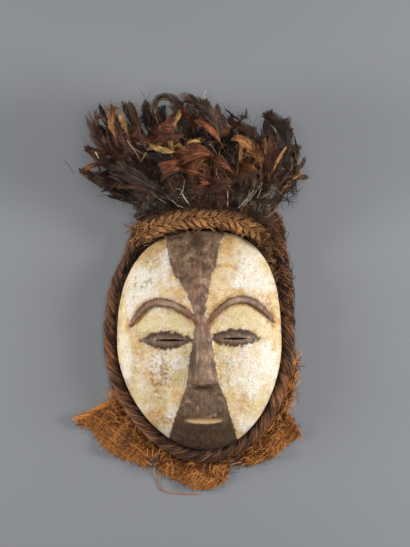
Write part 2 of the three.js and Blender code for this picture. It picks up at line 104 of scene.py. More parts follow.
# The dark stain down the middle of the face: y, and its left and right edges there
STAIN_FIELD = [
    (140, -45, 31), (119, -43, 23), (107, -40, 20.5), (94, -38, 19), (82, -33, 13), (69, -23, 10),
    (57, -17, 8.5), (44, -12, 6), (32, -8, 5.5), (24, -5.5, 9), (7, -8.6, 12.5), (-24, -13.5, 17.5),
    (-49, -16.5, 21.5), (-57, -17.5, 23), (-60, -20, 25), (-74, -24.5, 31.5), (-89, -30, 35.5),
    (-106, -35, 40.5), (-118, -38.5, 43.5), (-140, -45, 51),
]
# Patches of the kaolin: x, y, half-width, half-height and strength of each
OCHRE_PATCHES = [
    (-47, 118, 9, 16, 0.8), (-41, 80, 9, 18, 0.7), (-26, 56, 10, 15, 1), (34, 118, 10, 17, 0.9),
    (30, 75, 14, 13, 0.4), (18, 54, 12, 16, 0.7), (48, 62, 26, 5, 0.7), (80, 50, 9, 12, 0.6),
    (-62, 110, 18, 16, 0.45), (-80, -10, 10, 14, 0.5), (-30, -70, 6, 12, 0.7), (-52, -98, 16, 18, 0.55),
    (-56, -40, 17, 30, 0.45), (51, -74, 10, 18, 0.55), (54, -116, 9, 6, 0.8), (-88, 30, 8, 30, 0.3),
    (48, -30, 25, 20, 0.2), (28, -40, 9, 22, 0.3),
]
WHITE_PATCHES = [
    (-70, 72, 15, 20, 1), (-44, 92, 5, 30, 0.6), (62, 88, 20, 20, 0.7), (-86, 55, 9, 28, 0.6),
    (-56, -28, 8, 10, 0.6), (-30, -28, 10, 14, 0.5), (82, -25, 14, 22, 0.8), (60, -112, 10, 9, 0.7),
    (-38, -90, 6, 14, 0.5), (48, 72, 9, 7, 0.8), (-92, -30, 7, 22, 0.6), (60, -38, 20, 30, 0.6),
]
SPECKLE_PATCHES = [
    (-52, -42, 20, 30, 1), (84, 44, 10, 16, 0.9), (-66, 108, 20, 18, 0.5), (-50, -96, 20, 16, 0.7),
    (52, 100, 8, 9, 0.6), (60, -70, 10, 16, 0.4), (-38, -6, 14, 5, 0.7), (44, 14, 20, 4, 0.6),
]
# Darker stain: dark patches in the middle field, painted shade down the nose's left flank, a painted
# shadow under its tip, and a faint darkening on its right flank
DARK_AND_SHADE_PATCHES = [
    (-5, 124, 8, 11, 0.9), (-20, 92, 12, 12, 0.3), (-9, -27, 4.6, 25, 1), (3.4, -59.5, 15, 2.4, 1),
    (16, -40, 5, 16, 0.2),
]
RED_PATCHES = [
    (-5, 66, 7, 26, 1), (3, 28, 9, 16, 0.8), (40, 40, 14, 6, 0.7), (0, -52, 16, 9, 0.5),
    (3, -25, 6, 22, 0.5), (-84, 26, 10, 8, 0.6), (86, 30, 10, 8, 0.6),
]
# Where the coat is thin and the wood shows through it as olive tan
THIN_PATCHES = [
    (-60, 108, 16, 22, 0.8), (-84, 62, 8, 24, 0.5), (-52, -44, 13, 34, 1), (-86, -50, 8, 20, 0.8),
    (-63, -68, 12, 8, 0.8), (-57, -95, 12, 10, 1), (-47, -110, 10, 12, 1), (-76, -18, 10, 20, 0.6),
    (30, 122, 12, 10, 0.7), (62, 56, 26, 7, 0.7), (86, 38, 7, 16, 0.7), (51, -78, 13, 16, 0.6),
    (32, -40, 8, 14, 0.3), (-28, 60, 8, 16, 0.4),
]
# Cracks and flaked lines of the coat, and golden seams: their points, half-width and strength
CRACKS = [
    ([(-82, 79), (-81, 72), (-82.5, 65), (-81, 60)], 0.9, 0.75), ([(-82, 60), (-85, 51)], 0.8, 0.6),
    ([(-75, 66), (-70, 73), (-66, 73), (-61, 79)], 1.9, 0.6), ([(-70, 67), (-66, 71), (-62, 72)], 2, 0.5),
    ([(-93, 44), (-86, 46), (-79, 42)], 0.8, 0.4), ([(-66, 100), (-62, 92), (-64, 84)], 0.8, 0.45),
    ([(-72, 112), (-64, 106), (-58, 98)], 0.9, 0.4), ([(55, -62), (58, -70), (56, -80)], 0.9, 0.4),
]
SEAMS = [
    ([(11, 88), (22, 93), (36, 93), (46, 89)], 2.2, 0.8), ([(46, 90), (50, 99), (47, 110)], 2.6, 0.6),
    ([(52, 86), (54, 78), (50, 70)], 2.4, 0.6), ([(-40, 118), (-38, 104), (-42, 92)], 2.8, 0.6),
]

# Fibre work round the face
FLOOR_GAP = 3.5
ROPE = Sizes(radius=8.7, offset=8.2, pitch=62, lobes=3, yarns=42, yarn_radius=0.78, steps=264)
# The rope lies further out over the top: the angles in degrees where that starts, is full and ends
ROPE_TOP = Sizes(starts=131, full=113, until=74, offset=27)
ROPE_SHOULDER = Sizes(
    until=22,
    points=[(107.5, 62), (102.5, 90), (97.5, 120), (94.5, 144), (85, 158.5), (68, 161)],
)
PLAIT = Sizes(
    offset=16.2, start=118, end=59, depth=32.5, swing=8.6, dip=3.2, turns=3.4, strands=5,
    strand=(5, 3.4), filaments=9, steps=120, hairs=1050,
)
# The gap beside the face that dark fibre fills as painted shade: its room past the outline at some angles
GAP = Sizes(
    fibres=850, start=62, end=172, top=22, degrees=[62, 76, 116, 134, 150, 172],
    room=[16, 19, 19, 9, 3, 1.5],
)
STRAP = Sizes(offset=33.8, thickness=4.5, start=116, end=61, low=21.4, high=42, turns=78)
WAD = Sizes(low=(76, 4), top=142, left=62, crown=20, fibres=430)

# The crest's tiers: count, height of the roots, elevation, lift and reach
TIERS = [
    (9, 7, 1, 6, 1), (9, 14.5, 9, 4, 0.98), (8, 25, 17, 3, 0.93), (8, 32, 26, 0, 0.85),
    (6, 39, 36, -4, 0.72), (6, 44.2, 54, -22, 0.36),
]
TIER_KINDS = ["dark", "dark", "brown", "black", "dark", "dark", "brown", "edged"]
CREST_ROOTS = (114, 62)
CREST_WIDTH = (18, 24.5)
CREST_AZIMUTH = [150, 138, 121, 111, 104, 95, 89, 84, 80, 72, 58]
CREST_REACH = [88, 128, 147, 142, 139, 136, 126, 104, 106, 135, 76]
QUILL = Sizes(radius=1.2, gap=0.9)
# The colours of each kind of feather at the base, on the blade, along its edge and of its shaft,
# as shares of the dark, the rust, the buff and the grey
KINDS = {
    "dark": [(1.3, 0, 0, 0), (1, 0, 0, 0), (1.8, 0.15, 0, 0), (3, 0, 0, 0)],
    "black": [(0.35, 0, 0, 0), (0.22, 0, 0, 0), (0.35, 0, 0, 0), (0.6, 0, 0, 0)],
    "rust": [(0, 0.4, 0, 0), (0, 0.85, 0, 0), (0, 1.1, 0, 0), (0, 0.9, 0.25, 0)],
    "golden": [(0, 0.6, 0, 0), (0, 0.8, 0.25, 0), (0, 0.3, 0.8, 0), (0, 0, 0.9, 0)],
    "buff": [(0, 0, 0.5, 0), (0, 0, 0.9, 0), (0, 0, 1.05, 0), (0, 0, 1, 0)],
    "grey": [(0, 0, 0, 0.7), (0, 0, 0, 1), (0, 0, 0.1, 1.2), (0, 0, 0, 1.4)],
    "brown": [(1.1, 0.08, 0, 0), (1, 0.2, 0, 0), (1, 0.4, 0, 0), (0, 0.6, 0, 0)],
    "edged": [(1, 0, 0, 0), (1.1, 0, 0, 0), (0, 0.2, 0.6, 0), (0, 0, 0.5, 0)],
}

# The raffia ruff: angle round the outline in degrees, and reach past the outline
RUFF = {
    "raffia_cloth_left": [
        (214.5, 19), (216.5, 42), (218.4, 80), (221, 71), (224.5, 66), (229, 66), (234, 66), (238.5, 62),
        (242, 55), (246, 51), (249, 49),
    ],
    "raffia_cloth_bottom": [
        (251.5, 33), (254, 43), (257, 46.5), (261, 46.5), (265, 49), (269, 51), (272.5, 49.5), (276, 44),
        (279.5, 26),
    ],
    "raffia_cloth_right": [
        (285, 38), (288, 38), (292, 44), (297, 48), (304, 51), (309.5, 59), (313, 46), (316, 32),
        (318.3, 20),
    ],
    "raffia_cloth_side": [(319.8, 27), (323, 28), (327, 26.5), (332, 24), (337, 22.5), (343, 20), (347, 18)],
}
# A cloth's sheet and yarns: cell is a yarn's step, and turn is the first set's heading
CLOTH = Sizes(
    thickness=1.6, inner=-2.2, radius=130, ripple=3.2, waves=23, yarn_gap=1.6, yarn=1.35,
    yarn_points=44, cell=1.1, turn=0.93,
)
# How much the loose fibres of a scrap lie along the rope, where they do
LEAN = {"raffia_cloth_right": 0.6, "raffia_cloth_side": 0.9}
# The rolled hem of the left scrap: its angle, and where it starts and ends past the outline
HEM = Sizes(
    node="raffia_cloth_left", angle=216.6, start=14, end=74, yarns=26, radius=3, turns=2.2)

# The loose thread's route, the same points as in the construction
THREAD_DIAMETER = 1.3
THREAD_ROUTE = [
    (-54.5, -162.5, 5.4), (-54.8, -165.5, 4.8), (-55, -168.5, 3.8), (-55, -172, 2.5),
    (-54.8, -175.5, 1.4), (-54.3, -179, 0.9), (-53.4, -182.6, 0.8), (-51.6, -186.4, 0.8),
    (-48.6, -189.4, 0.8), (-44.6, -191.2, 0.8), (-39.5, -192.3, 0.8), (-34, -193, 0.8),
    (-28, -193.5, 0.8), (-21.5, -193.9, 0.8), (-15, -194.1, 0.8), (-8, -194.1, 0.8),
    (-1.3, -193.8, 0.8),
]

# The fibres: dark and light colour, roughness, depth of the streaks in metres, and share of dirt
FIBRES = {
    "rope": ("rope_dark", "rope_light", 0.8, 0.0006, 0.45),
    "matted": ("rope_dark", "plait_light", 0.85, 0.0005, 0.5),
    "palm": ("plait_dark", "plait_light", 0.65, 0.0004, 0.36),
    "raffia": ("cloth_dark", "cloth_light", 0.8, 0.0005, 0.36),
}

# The soft lights: place in metres, size, and share of the power
LIGHTS = {
    "light_above": ((0.1, 0.15, 2), 0.9, 0.23),
    "light_left": ((-1.45, 0.05, 0.58), 0.55, 0.33),
    "light_right": ((1.45, 0.05, 0.66), 0.65, 0.42),
}
# How the photograph was taken: the millimetres that its height spans at the face's edge
VIEW = Sizes(middle=(5, 83.75), span=683.75, plane=30, lens=200, sensor=36)


# Numbers


def smoothstep(x, low, high):
    """0 below low, 1 above high, and a smooth step between them."""
    t = clip((np.asarray(x, float) - low) / (high - low), 0.0, 1.0)
    return t * t * (3.0 - 2.0 * t)


def lerp(a, b, t):
    return a + (b - a) * t


def ramp(count):
    """Evenly spaced values from 0 to 1."""
    return np.linspace(0, 1, count)


def unit(vectors):
    """Vectors scaled to a length of one."""
    return vectors / maximum(np.linalg.norm(vectors, axis=-1, keepdims=True), 1e-12)


def scatter(n):
    """A repeatable value from 0 to 1 for each whole number, the same as in the construction."""
    wide = sin(np.asarray(n, float) * 12.9898 + 4.1) * 43758.5453
    return wide - np.floor(wide)


def along(values, share):
    """A value read off an evenly spaced list, with share from 0 to 1 along it."""
    return np.interp(share, ramp(len(values)), values)


def bell(x, middle, width):
    """A bell curve: 1 at the middle, and 0.37 at that distance from it."""
    return np.exp(-(((x - middle) / width) ** 2))


def read_off(table, at):
    """The other columns of a table, read off at places in its first one."""
    columns = np.array(sorted(table)).T
    return [np.interp(at, columns[0], column) for column in columns[1:]]


def lattice(cells, seed):
    """A value from -1 to 1 for each whole-number cell."""
    c = cells.astype(np.int64).astype(np.uint32)
    mixed = c[..., 0] * np.uint32(374761393) + c[..., 1] * np.uint32(668265263)
    mixed = mixed + c[..., 2] * np.uint32(2246822519) + np.uint32(seed * 40503 + 17)
    mixed = (mixed ^ (mixed >> np.uint32(13))) * np.uint32(1274126177)
    mixed = mixed ^ (mixed >> np.uint32(16))
    return mixed.astype(float) / 2**31 - 1.0


def noise(place, size, seed, octaves=1):
    """Smooth noise from about -1 to 1 at a place's coordinates: lattice values blended across each
    cell of that size, and each octave adds the same at half the size and half the strength."""
    points = flat_points(*place)
    total = np.zeros(points.shape[:-1])
    for octave in range(octaves):
        scaled = points / (size * 0.5**octave)
        cell = np.floor(scaled)
        share = scaled - cell
        share = share * share * (3 - 2 * share)
        for corner in range(8):
            step = np.array([corner & 1, corner >> 1 & 1, corner >> 2])
            weight = np.prod(where(step, share, 1 - share), axis=-1)
            total += 0.5**octave * weight * lattice(cell + step, seed + octave * 7)
    return total


def flat_points(x, y, z=0.0):
    """Points stacked from their coordinates."""
    return np.stack(np.broadcast_arrays(x, y, z), axis=-1).astype(float)


def toward(heading, height=0.0):
    """Vectors of that heading in plan, with that height."""
    return flat_points(cos(heading), sin(heading), height)


def turned(out, turn):
    """Flat vectors turned upwards by an angle."""
    return out * cos(turn)[..., None] + UP * sin(turn)[..., None]


def raised(plan, height):
    """Plan points at that height."""
    return np.concatenate([plan, np.broadcast_to(height, plan.shape[:-1])[..., None]], axis=-1)


def through(points, closed=False, per_span=16):
    """A centripetal Catmull-Rom curve through the points: each span is the cubic whose end
    slopes are set by its neighbours, weighted by the root of the distance between them."""
    p = np.asarray(points, float)
    if closed:
        ring = np.vstack([p[-1:], p, p[:2]])
    else:
        ring = np.vstack([2 * p[:1] - p[1:2], p, 2 * p[-1:] - p[-2:-1]])
    a, b, c, d = ring[:-3], ring[1:-2], ring[2:-1], ring[3:]
    gaps = [np.sqrt(np.linalg.norm(v - u, axis=1, keepdims=True)) for u, v in ((a, b), (b, c), (c, d))]
    start = ((b - a) / gaps[0] - (c - a) / (gaps[0] + gaps[1]) + (c - b) / gaps[1]) * gaps[1]
    end = ((c - b) / gaps[1] - (d - b) / (gaps[1] + gaps[2]) + (d - c) / gaps[2]) * gaps[1]
    t = (np.arange(per_span) / per_span)[None, :, None]
    b, c, start, end = b[:, None], c[:, None], start[:, None], end[:, None]
    curve = b + start * t + (3 * (c - b) - 2 * start - end) * t**2 + (2 * (b - c) + start + end) * t**3
    curve = curve.reshape(-1, p.shape[1])
    return curve if closed else np.vstack([curve, p[-1:]])


def lengths_along(line):
    return np.concatenate([[0.0], np.cumsum(np.linalg.norm(np.diff(line, axis=0), axis=1))])


def evenly(line, count, closed=False):
    """The same line with count points at equal distances. A closed one leaves out its end."""
    line = np.vstack([line, line[:1]]) if closed else line
    far = lengths_along(line)
    places = np.linspace(0, far[-1], count, endpoint=not closed)
    return np.stack([np.interp(places, far, line[:, k]) for k in range(line.shape[1])], axis=-1)


# The plan of the face


def outline_radius(angle):
    """Radius of the outline: a superellipse whose power grows from the chin to the forehead."""
    c, s = np.abs(cos(angle)), sin(angle)
    power = lerp(FACE.bottom_power, FACE.top_power, smoothstep(s, -0.5, 0.7))
    return ((c / FACE.half_width) ** power + (np.abs(s) / FACE.half_height) ** power) ** (-1 / power)


def sway_at(y):
    """The face's middle line bends to the right at both ends."""
    return SWAY.least + SWAY.growth * ((y - SWAY.at) / FACE.half_height) ** 2


def outline_point(angle, share=1.0, offset=0.0):
    """The outline scaled by share and moved out along its normal by offset."""
    angle, share, offset = np.broadcast_arrays(angle, share, offset)

    def at(a):
        radius = outline_radius(a)
        y = radius * sin(a)
        return np.stack([radius * cos(a) + sway_at(y), y], axis=-1)

    step = 1e-3
    tangent = unit(at(angle + step) - at(angle - step))
    normal = np.stack([tangent[..., 1], -tangent[..., 0]], axis=-1)
    return at(angle) * share[..., None] + normal * offset[..., None]


def beside(angle, offset, height=None):
    """Points past the outline by offset, and at that height where one is given."""
    plan = outline_point(angle, 1.0, offset)
    return plan if height is None else raised(plan, height)


def outward_share(x, y):
    """How far out a point lies: 0 in the middle, 1 on the outline."""
    plain = x - sway_at(y)
    return np.hypot(plain, y) / outline_radius(np.arctan2(y, plain))


def outline_place(points):
    """The angle and the offset of each plan point, read from the nearest of many outline points."""
    angles = radians(np.arange(0, 360, 0.5))
    edge = outline_point(angles)
    normal = unit(outline_point(angles, 1.0, 1.0) - edge)
    nearest = np.concatenate([
        np.argmin(((some[:, None] - edge[None]) ** 2).sum(-1), axis=1)
        for some in np.array_split(points, max(1, len(points) // 2000))
    ])
    offset = ((points - edge[nearest]) * normal[nearest]).sum(-1)
    return angles[nearest], offset


def bump(form, x, y):
    return form.rise * bell(x, form.at[0], form.spread[0]) * bell(y, form.at[1], form.spread[1])


def face_height(x, y):
    """Height before carving: a dome of the outward share, with a swollen forehead and muzzle."""
    out = np.minimum(outward_share(x, y), 1.0)
    dome = FACE.rise * (1 - out**FACE.dome_power) ** FACE.dome_roundness
    return FACE.edge_height + dome + (1 - out**6) * (bump(FOREHEAD, x, y) + bump(MUZZLE, x, y))


def hollow_height(x, y, share):
    dome = HOLLOW.rise * (1 - share**HOLLOW.power) ** HOLLOW.roundness
    return dome + (1 - share**4) * HOLLOW.follow * bump(FOREHEAD, x, y)


def brow_distance(brow, x, y):
    """Distance to the brow's line, two half parabolas from its peak, and the share along it."""
    share = ramp(90)
    run = lerp(brow.inner[0], -brow.outer[0], share)
    reach = where(run > 0, brow.inner[0], brow.outer[0])
    drop = where(run > 0, brow.inner[1], brow.outer[1])
    line_x = brow.peak[0] - brow.side * run
    line_y = brow.peak[1] - drop * (run / reach) ** 2
    gaps = np.hypot(x[..., None] - line_x, y[..., None] - line_y)
    nearest = np.argmin(gaps, axis=-1)
    return np.take_along_axis(gaps, nearest[..., None], -1)[..., 0], share[nearest]


def brow_taper(share):
    return lerp(BROW.tip_share, 1.0, sin(pi * share) ** 0.6)


def socket_floor(socket, x, y, base):
    """The face cut back under a brow, deepest just below it."""
    out = np.hypot((x - socket.at[0]) / socket.half[0], (y - socket.at[1]) / socket.half[1])
    upper = smoothstep((y - socket.at[1]) / socket.half[1], -0.8, 0.6)
    return base - SOCKET_DEPTH * upper * np.sqrt(maximum(0, 1 - np.minimum(out, 1) ** 4)), out


def almond_share(eye, x, y):
    """How far out a point lies in an eye's almond, an ellipse whose ends run out to points."""
    run = (x - eye.at[0]) / EYE.half_length
    rise = np.abs(y - eye.at[1]) / EYE.half_height
    return np.sqrt(run**2 + rise**1.25)


def blended_top(a, b, width):
    """The higher of two surfaces, with a fillet of that width between them."""
    near = maximum(width - np.abs(a - b), 0) / width
    return maximum(a, b) + near**2 * width / 4


def nose_height(x, y, base):
    """Sections from the root to the tip: a flat ridge whose sides fall to the foot, and a tip
    that is rounded in plan."""
    out = np.abs(x - NOSE_AXIS)
    lower = y - 6.5 * (out / 18.5) ** 3
    foot, ridge, height = read_off(NOSE, lower)
    side = clip((out - 0.35 * ridge) / maximum(foot - 0.35 * ridge, 0.1), 0, 1)
    profile = 1 - 0.3 * side**1.6 - 0.7 * side**3.2
    inside = (out < foot) & (y < NOSE[0][0]) & (lower > NOSE[-1][0] - 0.6)
    axis_base = face_height(np.full_like(y, NOSE_AXIS), y)
    return where(inside, lerp(base, axis_base, 1 - side) + height * profile, base - 6)


def carved_height(x, y):
    """Height of the carved front: the dome, cut back in the sockets and the mouth, with brows,
    nose and eye mounds raised on it."""
    base = face_height(x, y)
    z = base.copy()
    for socket in SOCKETS:
        floor, out = socket_floor(socket, x, y, base)
        z = where(out < 1, np.minimum(z, floor), z)
    lid = z.copy()
    for brow in BROWS:
        gap, share = brow_distance(brow, x, y)
        taper = brow_taper(share)
        across = clip(gap / (BROW.half_width * taper), 0, 1)
        ridge = where(across < 1, base + BROW.height * taper * (1 - across**2) ** 0.6, base - 9)
        z = blended_top(z, ridge, 0.8)
    z = blended_top(z, nose_height(x, y, base), 1.6)
    for eye in EYES:
        out = almond_share(eye, x, y)
        z = where(out < 1, maximum(z, lid + 0.3 + EYE.rise * (1 - out**2.5)), z)
        z = z - 1.1 * bell(y, eye.slit[1], 2.4) * smoothstep(1 - out, 0.0, 0.35) * (out < 1)
    out = mouth_out(x, y)
    return where(out < 1, np.minimum(z, base - MOUTH.depth * (1 - out**2)), z)


def mouth_out(x, y):
    """How far out a point lies in the mouth, which is flat above and full below."""
    rise = y - MOUTH.at[1]
    half = MOUTH.half[1] * where(rise > 0, 0.75, 1.2)
    return np.hypot((x - MOUTH.at[0]) / MOUTH.half[0], rise / half)


def stain_depth(x, y):
    """How far inside the dark stain a point lies, in millimetres, and how dark the stain is there.
    The stain covers the middle field, the brows and the almonds of the eyes."""
    left, right = read_off(STAIN_FIELD, y)
    depth = np.minimum(x - left, right - x) * 0.9
    tone = 0.3 + 0.24 * smoothstep(-y, 55, 66) + 0.67 * smoothstep(-y, 92, 112)
    # Darker patches of stain, with painted shade on the nose's left flank and under its tip
    tone = tone + patches(DARK_AND_SHADE_PATCHES, x, y)
    for brow in BROWS:
        gap, share = brow_distance(brow, x, y)
        inside = BROW.half_width * BROW.stained * brow_taper(share) - gap
        tone = where(inside > depth, 0.72 - 0.45 * bell(share, *BROW.middle), tone)
        depth = maximum(depth, inside)
    for eye in EYES:
        out = almond_share(eye, x, y)
        inside = (1.06 - out) * EYE.half_height
        tone = where(inside > depth, 0.5 + 0.5 * smoothstep(out, 0.6, 1.0), tone)
        depth = maximum(depth, inside)
    return depth, tone


def patches(spots, x, y):
    """Soft round patches, the strongest one counting where they overlap."""
    total = np.zeros_like(x)
    for at_x, at_y, half_x, half_y, strength in spots:
        total = maximum(total, strength * bell(x, at_x, half_x) * bell(y, at_y, half_y))
    return total


def near_lines(lines, x, y):
    """How near a point lies to any of some curves, fading over each one's half-width."""
    total = np.zeros_like(x)
    for points, half_width, strength in lines:
        line = through(points)
        gap = np.min(np.hypot(x[..., None] - line[:, 0], y[..., None] - line[:, 1]), axis=-1)
        total = maximum(total, strength * bell(gap, 0, half_width))
    return total


def face_origin():
    """Where the middle of the outline lies in the row frame, in millimetres: the box of the
    carved face against the outline's own corners."""
    low, high = (np.array(corner) * 1000 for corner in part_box("carved_face"))
    corners = outline_point(np.arange(FACE.corners) / FACE.corners * 2 * pi)
    return np.array([low[0] - corners[:, 0].min(), (low[1] + high[1]) / 2, 0.0])


ORIGIN = face_origin()


def in_row(points):
    """Points in metres in the row frame."""
    return (np.asarray(points, float) + ORIGIN) / 1000


# Skins, lines and pieces


class Skin:
    """Points, faces and per-point values of one piece, gathered part by part."""

    def __init__(self):
        self.points = []
        self.faces = []
        self.values = {}
        self.count = 0

    def add(self, points, faces, **values):
        """Adds points, a list of face arrays that count from the first of them, and values that
        each point carries."""
        points = np.asarray(points, float).reshape(-1, 3)
        self.points.append(points)
        self.faces += [np.asarray(some) + self.count for some in faces]
        for name, value in values.items():
            value = np.asarray(value, float)
            shape = (len(points), 3) if value.ndim and value.shape[-1] == 3 else (len(points),)
            self.values.setdefault(name, []).append(np.broadcast_to(value, shape))
        self.count += len(points)
        return self

    def loft(self, rings, flip=True, **values):
        """Adds a closed skin over rings of points, with a cap at each end."""
        rows, count = rings.shape[:2]
        ends = np.arange(count)[None]
        faces = [ring_faces(rows, count), ends, (rows - 1) * count + ends[:, ::-1]]
        return self.add(rings, [some[:, ::-1] if flip else some for some in faces], **values)

    def tubes(
            self, lines, width, thickness=None, up=FIBRE_UP, sides=3, turn=0.0, loop=False, low=0.0,
            high=np.inf, **values):
        """Adds closed tubes along many lines at once, kept between two heights. Each ring is an
        ellipse of that width and thickness, across the line and square to it, with its thickness
        towards up. A value is given for each line and each point along it. Every point also
        carries its lay: the distance along, and the cosine and sine round."""
        n, m = lines.shape[:2]
        lines = raised(lines[..., :2], clip(lines[..., 2], low, high))
        thickness = width if thickness is None else thickness
        if loop:
            tangent = unit(np.roll(lines, -1, axis=1) - np.roll(lines, 1, axis=1))
        else:
            tangent = unit(np.gradient(lines, axis=1))
        side = unit(np.cross(tangent, np.broadcast_to(np.asarray(up, float), tangent.shape)))
        over = np.cross(side, tangent)
        angle = 2 * pi * np.arange(sides) / sides + turn
        wide, thick = (np.broadcast_to(size, (n, m))[..., None, None] / 2 for size in (width, thickness))
        c, s = cos(angle), sin(angle)
        points = (
            lines[:, :, None] + side[:, :, None] * wide * c[:, None] + over[:, :, None] * thick * s[:, None])
        first = (np.arange(n) * m * sides)[:, None, None]
        faces = [(ring_faces(m, sides, loop)[None] + first).reshape(-1, 4)]
        if not loop:
            ends = np.arange(sides)
            faces += [first[:, 0] + ends, first[:, 0] + (m - 1) * sides + ends[::-1]]
        steps = np.linalg.norm(np.diff(lines, axis=1), axis=-1)
        far = np.concatenate([np.zeros((n, 1)), np.cumsum(steps, axis=1)], axis=1)
        own = 13.7 * scatter(np.arange(n) + round(float(lines[0, 0].sum()) * 10) % 977)[:, None, None]
        lay = flat_points(far[..., None] * 0.1 + own, c + own, s + own)
        for name, value in values.items():
            item = (3,) if name == "tint" else ()
            value = np.broadcast_to(value, (n, m, *item)).reshape(n * m, *item)
            values[name] = np.repeat(value, sides, axis=0)
        return self.add(points, faces, lay=lay.reshape(-1, 3), **values)

    def build(self, name, material, node=None):
        """Makes the mesh object, in metres in the row frame, riding on the mask's one body. It
        stands for that node of the construction."""
        mesh = bpy.data.meshes.new(name)
        points = in_row(np.vstack(self.points))
        sizes = np.concatenate([np.full(len(some), some.shape[1]) for some in self.faces])
        corners = np.concatenate([some.ravel() for some in self.faces]).astype(np.int32)
        mesh.vertices.add(len(points))
        mesh.vertices.foreach_set("co", points.astype(np.float32).ravel())
        mesh.loops.add(len(corners))
        mesh.loops.foreach_set("vertex_index", corners)
        mesh.polygons.add(len(sizes))
        starts = np.concatenate([[0], np.cumsum(sizes)[:-1]]).astype(np.int32)
        mesh.polygons.foreach_set("loop_start", starts)
        mesh.update(calc_edges=True)
        mesh.validate()
        mesh.shade_smooth()
        for key, parts in self.values.items():
            set_values(mesh, key, np.concatenate(parts))
        mesh.materials.append(material_named(material))
        piece = new_object(name, mesh)
        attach(piece, "root")
        if node:
            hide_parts(node)
        return piece


def new_object(name, data):
    made = bpy.data.objects.new(name, data)
    bpy.context.scene.collection.objects.link(made)
    return made


def set_values(mesh, name, values):
    """Stores one number or one vector for each point of a mesh."""
    kind, field = ("FLOAT_VECTOR", "vector") if values.ndim == 2 else ("FLOAT", "value")
    attribute = mesh.attributes.new(name, kind, "POINT")
    attribute.data.foreach_set(field, values.astype(np.float32).ravel())


def ring_faces(rings, count, loop=False):
    """Quads between rings of count points each. A loop joins the last ring to the first."""
    bands = rings if loop else rings - 1
    i, j = np.meshgrid(np.arange(bands), np.arange(count), indexing="ij")
    k, n = (j + 1) % count, (i + 1) % rings
    quads = np.stack([i * count + j, n * count + j, n * count + k, i * count + k], axis=-1)
    return quads.reshape(-1, 4)


def wander(rng, n, m, size):
    """Random smooth sideways wander along n lines of m points: three waves of falling strength."""
    t = ramp(m)[None, :, None]
    phase = rng.uniform(0, 2 * pi, (3, n, 1, 3))
    strength = rng.normal(0, size, (3, n, 1, 3))
    return sum(
        strength[k] / (k + 1) * (sin((k + 1) * 3.1 * t + phase[k]) - sin(phase[k])) for k in range(3))


def wisps(rng, start, ahead, reach, t, size, curl=1.0):
    """Lines that run ahead from their starts by reach, and wander."""
    straight = start[:, None] + ahead[:, None] * reach * t[:, None]
    return straight + wander(rng, len(start), len(t), size) * curl


# Shader helpers


def linear(text):
    """A colour written as six hex digits, as linear values."""
    parts = [int(text[i:i + 2], 16) / 255 for i in (1, 3, 5)]
    return tuple(c / 12.92 if c <= 0.04045 else ((c + 0.055) / 1.055) ** 2.4 for c in parts)


class Nodes:
    """Adds nodes to a tree, linking the inputs that are sockets and setting the others."""

    def __init__(self, tree):
        self.tree = tree

    def add(self, kind, inputs=None, **settings):
        made = self.tree.nodes.new(kind)
        for key, value in settings.items():
            setattr(made, key, value)
        for key, value in (inputs or {}).items():
            self.give(made.inputs[key], value)
        return made

    def give(self, socket, value):
        if isinstance(value, bpy.types.NodeSocket):
            self.tree.links.new(value, socket)
        else:
            socket.default_value = (*value, 1.0) if socket.type == "RGBA" else value

    def attribute(self, name, output="Fac"):
        return self.add("ShaderNodeAttribute", attribute_name=name).outputs[output]

    def noise(self, vector, scale, detail, roughness):
        made = self.add("ShaderNodeTexNoise", {
            "Vector": vector, "Scale": scale, "Detail": detail, "Roughness": roughness})
        return made.outputs["Fac"]

    def step(self, value, low, high):
        """A smooth step of a value from 0 at low to 1 at high."""
        made = self.add("ShaderNodeMapRange", {
            "Value": value, "From Min": low, "From Max": high}, interpolation_type="SMOOTHSTEP")
        return made.outputs["Result"]

    def math(self, operation, a, b=0.0, clamp=False):
        made = self.add("ShaderNodeMath", {0: a, 1: b}, operation=operation, use_clamp=clamp)
        return made.outputs[0]

    def plus(self, a, b):
        return self.math("ADD", a, b)

    def minus(self, a, b):
        return self.math("SUBTRACT", a, b)

    def times(self, a, b, clamp=False):
        return self.math("MULTIPLY", a, b, clamp)

    def mix(self, share, a, b, blend="MIX"):
        made = self.add("ShaderNodeMix", {0: share, 6: a, 7: b}, data_type="RGBA", blend_type=blend)
        return made.outputs[2]

    def dyed(self, color, dye):
        return self.mix(1.0, color, dye, "MULTIPLY")

    def stretch(self, vector, scale):
        made = self.add("ShaderNodeMapping", {"Vector": vector, "Scale": scale})
        return made.outputs["Vector"]

    def place(self, tree, **inputs):
        """Puts in a group with its own values, and gives the group's outputs."""
        return self.add("ShaderNodeGroup", inputs, node_tree=tree).outputs

    def bump(self, height, distance, strength=1.0):
        made = self.add("ShaderNodeBump", {"Height": height, "Distance": distance, "Strength": strength})
        return made.outputs["Normal"]


def group(name, inputs, outputs, fill):
    """A node group with named sockets, made once. fill gets the Nodes and the inputs by name, and
    gives the outputs in order."""
    made = bpy.data.node_groups.get(name)
    if made:
        return made
    made = bpy.data.node_groups.new(name, "ShaderNodeTree")
    for side, sockets in (("INPUT", inputs), ("OUTPUT", outputs)):
        for key, kind in sockets.items():
            made.interface.new_socket(key, in_out=side, socket_type=f"NodeSocket{kind}")
    nodes = Nodes(made)
    given = nodes.add("NodeGroupInput")
    results = fill(nodes, given.outputs)
    nodes.add("NodeGroupOutput", dict(zip(outputs, results)))
    return made


def worn_edge():
    """Turns a soft mask, 0.5 at a painted edge, into a ragged sharp one."""

    def fill(nodes, given):
        coarse = nodes.noise(given["Vector"], given["Scale"], 5.0, 0.65)
        ragged = nodes.times(nodes.minus(coarse, 0.5), given["Raggedness"])
        return [nodes.step(nodes.plus(given["Mask"], ragged), 0.44, 0.56)]

    inputs = {"Mask": "Float", "Vector": "Vector", "Scale": "Float", "Raggedness": "Float"}
    return group("worn_edge", inputs, {"Mask": "Float"}, fill)


